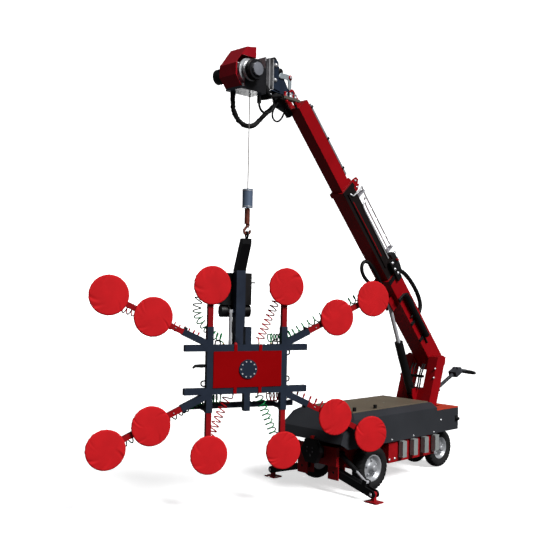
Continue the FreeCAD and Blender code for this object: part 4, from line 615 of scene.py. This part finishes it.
valve_brown = coated("valve_brown", (0.10, 0.085, 0.07), metallic=0.3, rough=0.5, spread=0.2)
valve_y = plates_last + 0.104
plate("head_valve", [(0, -0.013), (0.185, -0.019), (0.205, -0.012), (0.185, 0.006), (0, 0.012)],
      (0.079, valve_y, 3.408), (0, 1, 0), (0, 0, 1), 0.05, valve_brown, "winch_head", 0.003)
head_fitting = [(0, 0.013), (0.012, 0.013), (0.014, 0.010), (0.03, 0.010), (0.031, 0.012), (0.04, 0.012)]
fitting_places = (0.02, 0.09), (0.052, 0.07), (0.082, 0.09), (0.112, 0.072), (0.145, 0.088)
for index, (along, x) in enumerate(fitting_places):
    turned(f"head_fitting_{index}", head_fitting, (x, valve_y + along, 3.415), (0, 0, 1),
           plated if index else link_red, "winch_head", 12)
for index, along in enumerate((0.045, 0.15)):
    turned(f"head_plug_{index}", [(0, 0.015), (0.016, 0.015), (0.018, 0.012), (0.028, 0.012), (0.03, 0)],
           (0.085, valve_y + along, 3.396), (0, 0, -1), link_red, "winch_head", 12)
BRACKET_HALF = 0.037
for index, x in enumerate((-0.045, -0.012, 0.022, 0.052, 0.07)):
    bends = ((1, -0.075, 3.468), (1, -0.07, 3.42), (1, -0.03, 3.392), (0.9, 0.02, 3.398), (0.8, 0.07, 3.42),
             (0.8, 0.105, 3.455 if abs(x) < BRACKET_HALF else 3.42))
    route = [(x * share, plates_last + y, z) for share, y, z in bends]
    pipe(f"head_line_{index}", route, 0.0155, rubber_black, "winch_head")
LOOP_X = 0.0
hose("head_loop", [(LOOP_X, plates_last + y, z) for y, z in (
    (-0.086, 3.452), (-0.088, 3.41), (-0.09, 3.36), (-0.088, 3.312), (-0.062, 3.274), (-0.015, 3.262),
    (0.036, 3.276), (0.076, 3.314), (0.088, 3.37), (0.068, 3.432))], 0.0095, rubber_black, "winch_head")
pipe("head_loop_sleeve", [(LOOP_X, plates_last + y, z) for y, z in (
    (-0.086, 3.45), (-0.088, 3.41), (-0.09, 3.37), (-0.088, 3.335))], 0.018, rubber_black, "winch_head")
hose("tip_loop", [(-0.034, y, z) for y, z in (
    (-0.735, 3.385), (-0.776, 3.34), (-0.802, 3.285), (-0.79, 3.236), (-0.742, 3.218), (-0.694, 3.248),
    (-0.662, 3.302), (-0.637, 3.352))], 0.008, rubber_black, "boom_inner")

# Rope: a laid steel rope of six strands from the drum's tray to the hook weight, and the weight,
# a turned blue-grey steel bob over the red swivel hook with its plated latch.
rope_low, rope_high = box_of("rope")
rope_x, rope_radius = (rope_low.x + rope_high.x) / 2, (rope_high.x - rope_low.x) / 2
rope_top, rope_foot = Vector((rope_x, rope_y, rope_high.z)), Vector((rope_x, rope_y, rope_low.z))
STRANDS, LAY_LENGTH = 6, 0.052
rope_route = [rope_top, rope_top.lerp(rope_foot, 0.3), rope_top.lerp(rope_foot, 0.7), rope_foot]
rope_line, rope_path = spline_along("rope_core", rope_route, 110)
bpy.data.objects.remove(rope_line)
rope_profile = [((place - rope_top).length, rope_radius) for place in rope_path]
STRAND_RELIEF = 0.22


def laid(row, angle):
    """Radius change of a laid rope: lobes abs(cos(3 (t - 2 pi d / lay))) - 1 at distance d, scaled."""
    turn = angle - 2 * math.pi * np.array(rope_profile)[row, 0] / LAY_LENGTH
    return rope_radius * STRAND_RELIEF * (np.abs(np.cos(STRANDS / 2 * turn)) - 1)


rope_steel = coated("rope_steel", (0.30, 0.28, 0.27), metallic=0.6, rough=0.42, spread=0.3, cloud=120)
rope = turned("rope_strands", rope_profile, rope_top, (0, 0, -1), rope_steel, None, 36, laid)
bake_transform(rope)
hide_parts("rope")
weight_blue = coated("weight_blue", (0.14, 0.19, 0.28), metallic=0.35, rough=0.36, spread=0.14, cloud=8)
dress("hook_weight", weight_blue, 0.004)
dress("hook", coated("hook_red", (0.16, 0.035, 0.02), metallic=0.3, rough=0.42, spread=0.4, cloud=25), 0)
dress("hook_latch", plated, 0)
weight_low, weight_high = box_of("hook_weight")
for index, z in enumerate((weight_high.z - 0.012, weight_low.z + 0.012)):
    turned(f"weight_band_{index}", [(-0.003, 0.0425), (-0.002, 0.0445), (0.002, 0.0445), (0.003, 0.0425)],
           (rope_x, rope_y, z), (0, 0, 1), plated, "hook_weight", 48)

# Vacuum frame: the mast in dark blue-grey with a black upper part and a plated actuator, and a black
# power unit behind it, with its handles and cables.
frame_blue = coated("frame_blue", (0.017, 0.024, 0.040), rough=0.38, spread=0.16)
hub = Vector(joints["frame_turn"]["pos_m"])
frame_side = Vector(joints["frame_tilt"]["axis"])
frame_front = Vector(joints["frame_turn"]["axis"])
hub_forward = (hub - Vector((rope_x, rope_y, hub.z))).dot(frame_front)


def on_frame(x, height, forward):
    """A point of the vacuum frame: x to its right, height above its hub, forward from the rope."""
    return hub + frame_side * x + Vector((0, 0, height)) + frame_front * (forward - hub_forward)


mast_zones = (((0, 0, 1), hub.z + 0.80, (0.006, 0.006, 0.007), 0.0),
              (tuple(-frame_side), 0.0576 - hub.dot(frame_side), (0.5, 0.51, 0.53), 0.4))
mast_blue = coated("mast_blue", (0.017, 0.024, 0.040), rough=0.38, spread=0.16, zones=mast_zones)
dress("lifter_mast", mast_blue, 0.003)
dress("power_unit", control_black, 0.006)
dress("tilt_hub", plated)
mast_cable = ((0.075, 0.512, -0.2), (0.066, 0.45, -0.19), (0.056, 0.38, -0.172), (0.048, 0.3, -0.16),
              (0.046, 0.2, -0.15), (0.044, 0.1, -0.14))
unit_handle = [(-0.05, 0), (0.05, 0), (0.05, 0.022), (0.036, 0.022), (0.036, 0.012), (-0.036, 0.012),
               (-0.036, 0.022), (-0.05, 0.022)]
for side in (-1, 1):
    cable = [on_frame(side * x, height, forward) for x, height, forward in mast_cable]
    pipe(f"mast_cable_{side}", cable, 0.006, rubber_black, "lifter_mast")
    outward = frame_side * side
    plate(f"unit_handle_{side}", unit_handle, on_frame(side * 0.13, 0.70, -0.22), frame_front, outward, 0.012,
          black_enamel, "lifter_mast")
    bolt(f"mast_bolt_{side}", on_frame(side * 0.0405, 0.46, -0.15), outward, plated, "lifter_mast", 0.01)

# Cross frame: square tube in dark blue-grey, with a red sheet panel, the hub plate and its plated
# bolts, a lock lever, hose elbows and a beacon cap.
dress("cross_frame", frame_blue, 0.003)
front_at = hub.dot(frame_front) - hub_forward
panel_zones = ((tuple(frame_front), front_at + 0.0903, (0.017, 0.024, 0.040), 0.0),
               (tuple(frame_front), front_at + 0.0983, (0.6, 0.61, 0.63), 0.4))
panel_red = coated("panel_red", (0.25, 0.001, 0.002), rough=0.42, spread=0.08, cloud=2.5, shine=0.04,
                   zones=panel_zones)
dress("front_panel", panel_red)
EDGE_HALF, OPENING_HALF = 0.0175, (0.2965, 0.1465)
for side in (-1, 1):
    upright = (EDGE_HALF, OPENING_HALF[1]), (side * (OPENING_HALF[0] - EDGE_HALF), 0)
    rail = (OPENING_HALF[0], EDGE_HALF), (0, side * (OPENING_HALF[1] - EDGE_HALF))
    for run, ((wide, tall), centre) in (("upright", upright), ("rail", rail)):
        plate(f"panel_{run}_{side}", rectangle(-wide, wide, -tall, tall), on_frame(*centre, 0.078),
              frame_side, (0, 0, 1), 0.008, frame_blue, "cross_frame", 0.001)
plate("lock_lever", [(0, -0.012), (-0.03, -0.016), (-0.085, -0.012), (-0.105, -0.024), (-0.11, -0.012),
                     (-0.09, 0.01), (-0.03, 0.014), (0, 0.012)],
      on_frame(-0.347, 0.03, 0.045), frame_side, (0, 0, 1), 0.02, black_enamel, "cross_frame", 0.004)
turned("beacon", [(0, 0.015), (0.004, 0.015), (0.005, 0.013), (0.012, 0.012), (0.016, 0.008), (0.018, 0.0)],
       on_frame(-0.1, 0.1975, 0.058), (0, 0, 1), pad_red, "cross_frame", 24)
elbows = ((0.25, 0.198, 1), (0.35, 0.128, 0), (0.35, -0.09, 0), (-0.35, -0.112, 0), (-0.25, 0.198, 1))
for index, (x, height, rail) in enumerate(elbows):
    step = frame_side if rail else Vector((0, 0, 1))
    out = Vector((0, 0, 1)) if rail else frame_side * math.copysign(1, x)
    seat = on_frame(x, height, 0.05) - out * 0.002
    bends = [seat + step * aside + out * away for aside, away in (
        (-0.022, 0), (-0.022, 0.03), (0, 0.038), (0.022, 0.03), (0.022, 0))]
    pipe(f"frame_elbow_{index}", bends, 0.006, rubber_black, "cross_frame")

# Arms: red square steel tube that slides in the frame's sockets, four fanned out and four upright,
# each fan arm with a black hose clip and a small stop bolt.
arm_red = coated("arm_red", (0.27, 0.003, 0.006), rough=0.40, spread=0.14, cloud=4)
corners = {"upper_left": (-1, 1), "upper_right": (1, 1), "lower_left": (-1, -1), "lower_right": (1, -1)}
UPRIGHT_X, POST_CUP, ARM_FRONT = 0.322, 0.673, 0.0795
FAN_ANGLE, FAN_RISE, FAN_CUPS = math.radians(25.2), 0.197, (0.525, 0.908)


def fan_place(side, level, distance, forward):
    """A point on a fan arm's axis, at that distance from the upright."""
    return on_frame(side * (UPRIGHT_X + distance * math.cos(FAN_ANGLE)),
                    level * (FAN_RISE + distance * math.sin(FAN_ANGLE)), forward)


def fan_aside(side, level):
    """The way square to a fan arm in the frame's plane, away from the frame's middle line."""
    return frame_side * (-side * math.sin(FAN_ANGLE)) + Vector((0, 0, level * math.cos(FAN_ANGLE)))


fan_clip = [(-0.012, -0.002), (0.012, -0.002), (0.012, 0.012), (0.006, 0.018), (-0.006, 0.018),
            (-0.012, 0.012)]
for corner, (side, level) in corners.items():
    dress("fan_arm_" + corner, arm_red, 0.003)
    dress("post_arm_" + corner, arm_red, 0.003)
    way, aside = Vector(joints["fan_slide_" + corner]["axis"]), fan_aside(side, level)
    seat = fan_place(side, level, 0.235, 0.058) + aside * 0.026
    plate("fan_clip_" + corner, fan_clip, seat, way, aside, 0.03, control_black, "cross_frame")
    seat = fan_place(side, level, 0.32, ARM_FRONT)
    bolt("fan_stop_" + corner, seat, frame_front, plated, "fan_arm_" + corner, 0.004)

# Cup covers: red woven covers drawn over the suction cups by a gathered hem at the back. Each has
# a taut front with a few soft creases, and sits on a black ball joint on its arm.
COVER_BACK, COVER_FRONT, COVER_RADIUS = 0.0875, 0.1145, 0.155


def woven(name, colour):
    """Cloth: faintly clouded colour, with a square weave in the bump."""
    material, tree, shader, place = shader_nodes(name)
    clouds = wire(tree, "TexNoise", Vector=place, Scale=9, Detail=4)
    shades = [c * 0.92 for c in colour], [c * 1.06 for c in colour]
    shown = two_shades(tree, clouds.outputs["Fac"], (0.3, 0.7), shades)
    weave = wire(tree, "TexChecker", Vector=place, Scale=700)
    relief = wire(tree, "Bump", Strength=0.2, Distance=0.0006, Height=weave.outputs["Fac"])
    wire(tree, shader, Roughness=0.72, Specular_IOR_Level=0.1, Base_Color=shown,
         Normal=relief.outputs["Normal"])
    return material


cover_red = woven("cover_red", (0.56, 0.010, 0.014))
COVER_STEPS, FRONT_ROWS, CREASES = 160, 22, 4
front_share = np.linspace(0.02, 0.95, FRONT_ROWS)
front_rows = np.stack([COVER_FRONT - 0.0035 * front_share ** 2, front_share, 0 * front_share,
                       0.0002 * front_share ** 3], -1)
cover_rows = np.concatenate([front_rows, [
    (COVER_FRONT - 0.006, 0.985, 0.0003, 0.0006), (COVER_FRONT - 0.011, 1.0, 0.0006, 0),
    (COVER_BACK + 0.008, 0.99, 0.0022, 0), (COVER_BACK + 0.004, 0.95, 0.004, 0),
    (COVER_BACK + 0.0025, 0.915, 0.002, 0), (COVER_BACK - 0.001, 0.91, 0.001, 0),
    (COVER_BACK - 0.001, 0.88, 0.001, 0), (COVER_BACK + 0.004, 0.86, 0.001, 0),
    (COVER_BACK + 0.006, 0.1, 0, 0)]])
CREASE_FLOOR = COVER_FRONT - 0.0062


def cup_cover(name, centre, seed, body):
    """One cover, a drawn disc.

    Row s of the profile has forward distance f_s and radius r_s; the vertex at angle t is
    centre + f front + (r_s + w_s q(t)) (cos t side + sin t up), f = f_s + v_s q(t) - c(t, r), where
    q(t) = sum of a_k cos(k t + p_k) over the pucker counts k with seeded a_k and p_k, and c is the
    depth of four radial creases, each a narrow bell across its own angle that fades inwards.
    """
    chance = np.random.default_rng(seed)
    counts = np.arange(9, 30)
    sizes = chance.uniform(0.2, 1.0, counts.size) / np.sqrt(counts.size)
    phases = chance.uniform(0, 2 * math.pi, counts.size)
    angles = np.linspace(0, 2 * math.pi, COVER_STEPS, endpoint=False)
    pucker = (sizes[:, None] * np.cos(counts[:, None] * angles + phases[:, None])).sum(0)
    crease_at = chance.uniform(0, 2 * math.pi, CREASES)[:, None, None]
    deep = chance.uniform(0.0025, 0.0065, CREASES)[:, None, None]
    wide = chance.uniform(0.05, 0.11, CREASES)[:, None, None]
    forward, share, wave, push = cover_rows.T[:, :, None]
    apart = share * np.angle(np.exp(1j * (angles - crease_at - 0.8 * (1 - share))))
    bell = np.exp(-(apart / wide) ** 2) - 0.6 * np.exp(-((apart - 1.6 * wide) / wide) ** 2)
    fade = np.clip((share - 0.35) / 0.6, 0, 1) ** 1.5 * (forward > CREASE_FLOOR)
    reach = COVER_RADIUS * share + wave * pucker
    out = forward + push * pucker - (deep * bell * fade).sum(0)
    spokes = np.outer(np.cos(angles), frame_side) + np.outer(np.sin(angles), (0, 0, 1))
    points = np.array(centre) + out[..., None] * np.array(frame_front) + reach[..., None] * spokes
    last = (len(cover_rows) - 1) * COVER_STEPS
    faces = ring_faces(len(cover_rows), COVER_STEPS)
    faces += [list(range(COVER_STEPS)), list(range(last, last + COVER_STEPS))]
    piece = mesh_piece(name, points, faces, [], cover_red)
    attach(piece, body)
    ball = [(0, 0.0), (0, 0.021), (0.004, 0.024), (0.007, 0.024), (0.012, 0.02), (0.0145, 0.013)]
    turned(name + "_ball", ball, centre + frame_front * ARM_FRONT, frame_front, control_black, body, 28)
    return piece


for number, (corner, (side, level)) in enumerate(corners.items()):
    for index, distance in enumerate(FAN_CUPS):
        cover = cup_cover(f"cover_fan_{corner}_{index}", fan_place(side, level, distance, 0.0),
                          10 * number + index, "fan_arm_" + corner)
        if index == 0:
            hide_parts("fan_cups_" + corner)
    cover = cup_cover("cover_post_" + corner, on_frame(side * UPRIGHT_X, level * POST_CUP, 0.0),
                      10 * number + 5, "post_arm_" + corner)
    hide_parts("post_cup_" + corner)

# Coil hoses: springy red and green air hoses that leave the frame and wind behind and beside each
# arm to its outer cup.
COIL_RADIUS, COIL_TUBE, COIL_FORWARD, EXIT_FORWARD, RAIL_TOP = 0.032, 0.005, -0.012, 0.046, 0.198
TUBE_BACK, ARM_BACK, STEPS_A_TURN = 0.032, 0.0365, 12
coil_red = coated("coil_red", (0.46, 0.004, 0.010), rough=0.22, spread=0.12, cloud=30)
coil_green = coated("coil_green", (0.004, 0.22, 0.06), rough=0.22, spread=0.12, cloud=30)
fitting_brass = coated("fitting_brass", (0.40, 0.30, 0.16), metallic=0.9, rough=0.3, cloud=40)
back = -frame_front


def smooth_place(points, share):
    """Catmull-Rom line through points, at share of its spans, with mirrored points beyond its ends."""
    spans = len(points) - 1
    index = min(int(share * spans), spans - 1)
    t = share * spans - index
    here, after = points[index], points[index + 1]
    before = points[index - 1] if index else here * 2 - after
    beyond = points[index + 2] if index + 2 <= spans else after * 2 - here
    return (here * 2 + (after - before) * t + (before * 2 - here * 5 + after * 4 - beyond) * t ** 2
            + (here * 3 - before - after * 3 + beyond) * t ** 3) * 0.5


def coil_hose(name, points, hand, turns, level, from_rail, material, arm_body):
    """The hose's route: out of the frame, the helix about the line through points, and into the arm.

    The helix point at share s is place(s) + R (cos t out + sin t back), t = 180 - (360 turns + 180) s
    degrees, out square to the line, with R widened so that the spline runs at the coil's radius.
    """
    step = 360 / STEPS_A_TURN
    wide = COIL_RADIUS / (0.75 + 0.25 * math.cos(math.radians(step)))

    def on_coil(share, radius):
        """The helix point at that share of the line, radius away from it."""
        low, high = max(share - 0.0005, 0), min(share + 0.0005, 1)
        out = back.cross(smooth_place(points, high) - smooth_place(points, low)).normalized() * hand
        turn = math.radians(180 - (360 * turns + 180) * share)
        return smooth_place(points, share) + (out * math.cos(turn) + back * math.sin(turn)) * radius

    start, last = on_coil(0, COIL_RADIUS), on_coil(1, COIL_RADIUS)
    if from_rail:
        corner = start - back * (EXIT_FORWARD - COIL_FORWARD)
        foot = Vector((corner.x, corner.y, hub.z + level * RAIL_TOP))
        route, fitting_way = [foot, corner], Vector((0, 0, level))
    else:
        foot = start - back * (TUBE_BACK - COIL_FORWARD)
        route, fitting_way = [foot, start], back
    steps = int((360 * turns + 180) / step)
    route += [on_coil(index / steps, wide) for index in range(1, steps)]
    end = last - back * (ARM_BACK - COIL_FORWARD)
    route += [last, end]
    piece, path = hose_along(name, route, COIL_TUBE, material)
    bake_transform(piece)
    fitting = [(0, 0.0), (0, 0.008), (0.008, 0.008), (0.009, 0.0062), (0.014, 0.0062)]
    for place, way, body, index in ((foot, fitting_way, "cross_frame", 0), (end, back, arm_body, 1)):
        turned(f"{name}_fitting_{index}", fitting, place, way, fitting_brass, body, 12)
    return piece


def beside_fan(side, level, along, aside):
    """A point behind a fan arm, at a share along it to its outer cup and coil radii to its side."""
    on_arm = fan_place(side, level, along * FAN_CUPS[1], COIL_FORWARD)
    return on_arm + fan_aside(side, level) * (aside * COIL_RADIUS)


for corner, (side, level) in corners.items():
    crossing, outward = corner == "upper_left", side == level
    if crossing:
        fan_line = [beside_fan(side, level, *place) for place in (
            (0.085, 0.8), (0.36, 0.4), (0.66, -0.6), (0.91, -1.4))]
        fan_hand, fan_turns = -side * level, 17
        post_line = [on_frame(side * UPRIGHT_X * x, level * POST_CUP * z, COIL_FORWARD) for x, z in (
            (0.59, 0.365), (0.82, 0.4), (1.05, 0.5), (1.24, 0.62), (1.27, 0.77), (1.13, 0.95))]
        post_hand, post_turns = -side * level, 11
    else:
        short = corner == "lower_right"
        shares, fan_turns = ((0.13, 0.36, 0.58, 0.78), 17) if short else ((0.13, 0.36, 0.66, 0.91), 20)
        asides = (0.9, 1.3, 1.4, 1.4) if outward else (-0.6, -1.4, -1.4, -1.4)
        fan_line = [on_frame(side * x, level * 0.246, COIL_FORWARD) for x in (0.215, UPRIGHT_X)]
        fan_line += [beside_fan(side, level, *place) for place in zip(shares, asides)]
        fan_hand = (side if outward else -side) * level
        post_line = [on_frame(side * x, level * height, COIL_FORWARD) for x, height in (
            (0.138, 0.232), (0.281, 0.558))]
        post_hand, post_turns = side * level, 8
    red_fan = corner in ("upper_left", "lower_right")
    coil_hose("coil_fan_" + corner, fan_line, fan_hand, fan_turns, level, not crossing,
                           coil_red if red_fan else coil_green, "fan_arm_" + corner)
    coil_hose("coil_post_" + corner, post_line, post_hand, post_turns, level, True,
                           coil_green if red_fan else coil_red, "post_arm_" + corner)
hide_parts("coil_hoses")

# Head hose: a thick black sleeve over the winch's hydraulic lines, from the tray round to a port on
# the inner boom. It sags in a loop.
HOSE_X, HOSE_RADIUS = -0.064, 0.019
hose_route = [Vector((HOSE_X, y, z)) for y, z in (
    (-1.2212, 3.396), (-1.2212, 3.336), (-1.2192, 3.270), (-1.1962, 3.213), (-1.1532, 3.168),
    (-1.0962, 3.143), (-1.0342, 3.140), (-0.9762, 3.161), (-0.9042, 3.225), (-0.8322, 3.293),
    (-0.7738, 3.3401), (-0.7274, 3.3812))]
sleeve_black = coated("sleeve_black", (0.006, 0.005, 0.005), rough=0.7, spread=0.4, cloud=60, grain=260,
                      bump=0.6)
head_hose, hose_path = hose_along("head_hose_sleeve", hose_route, HOSE_RADIUS, sleeve_black, 16, 12)
# A lump adds to the radius of the vertices about one stretch of the line and one eighth of its turn.
LUMP_ROWS, LUMP_TURNS = 40, 8
lumps = np.random.default_rng(7).uniform(-0.002, 0.004, (LUMP_ROWS, LUMP_TURNS))
sleeve, line = np.empty(3 * len(head_hose.data.vertices)), np.array(hose_path)
head_hose.data.vertices.foreach_get("co", sleeve)
sleeve = sleeve.reshape(-1, 3)
near = ((sleeve[:, None] - line) ** 2).sum(-1).argmin(1)
spokes = sleeve - line[near]
eighths = np.arctan2(spokes[:, 0], spokes[:, 1] + spokes[:, 2]) / math.pi * (LUMP_TURNS / 2)
turn = (LUMP_TURNS / 2 + eighths).astype(int) % LUMP_TURNS
push = lumps[near * LUMP_ROWS // len(line), turn] / np.linalg.norm(spokes, axis=1)
head_hose.data.vertices.foreach_set("co", (sleeve + spokes * push[:, None]).ravel())
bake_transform(head_hose)
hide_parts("head_hose")
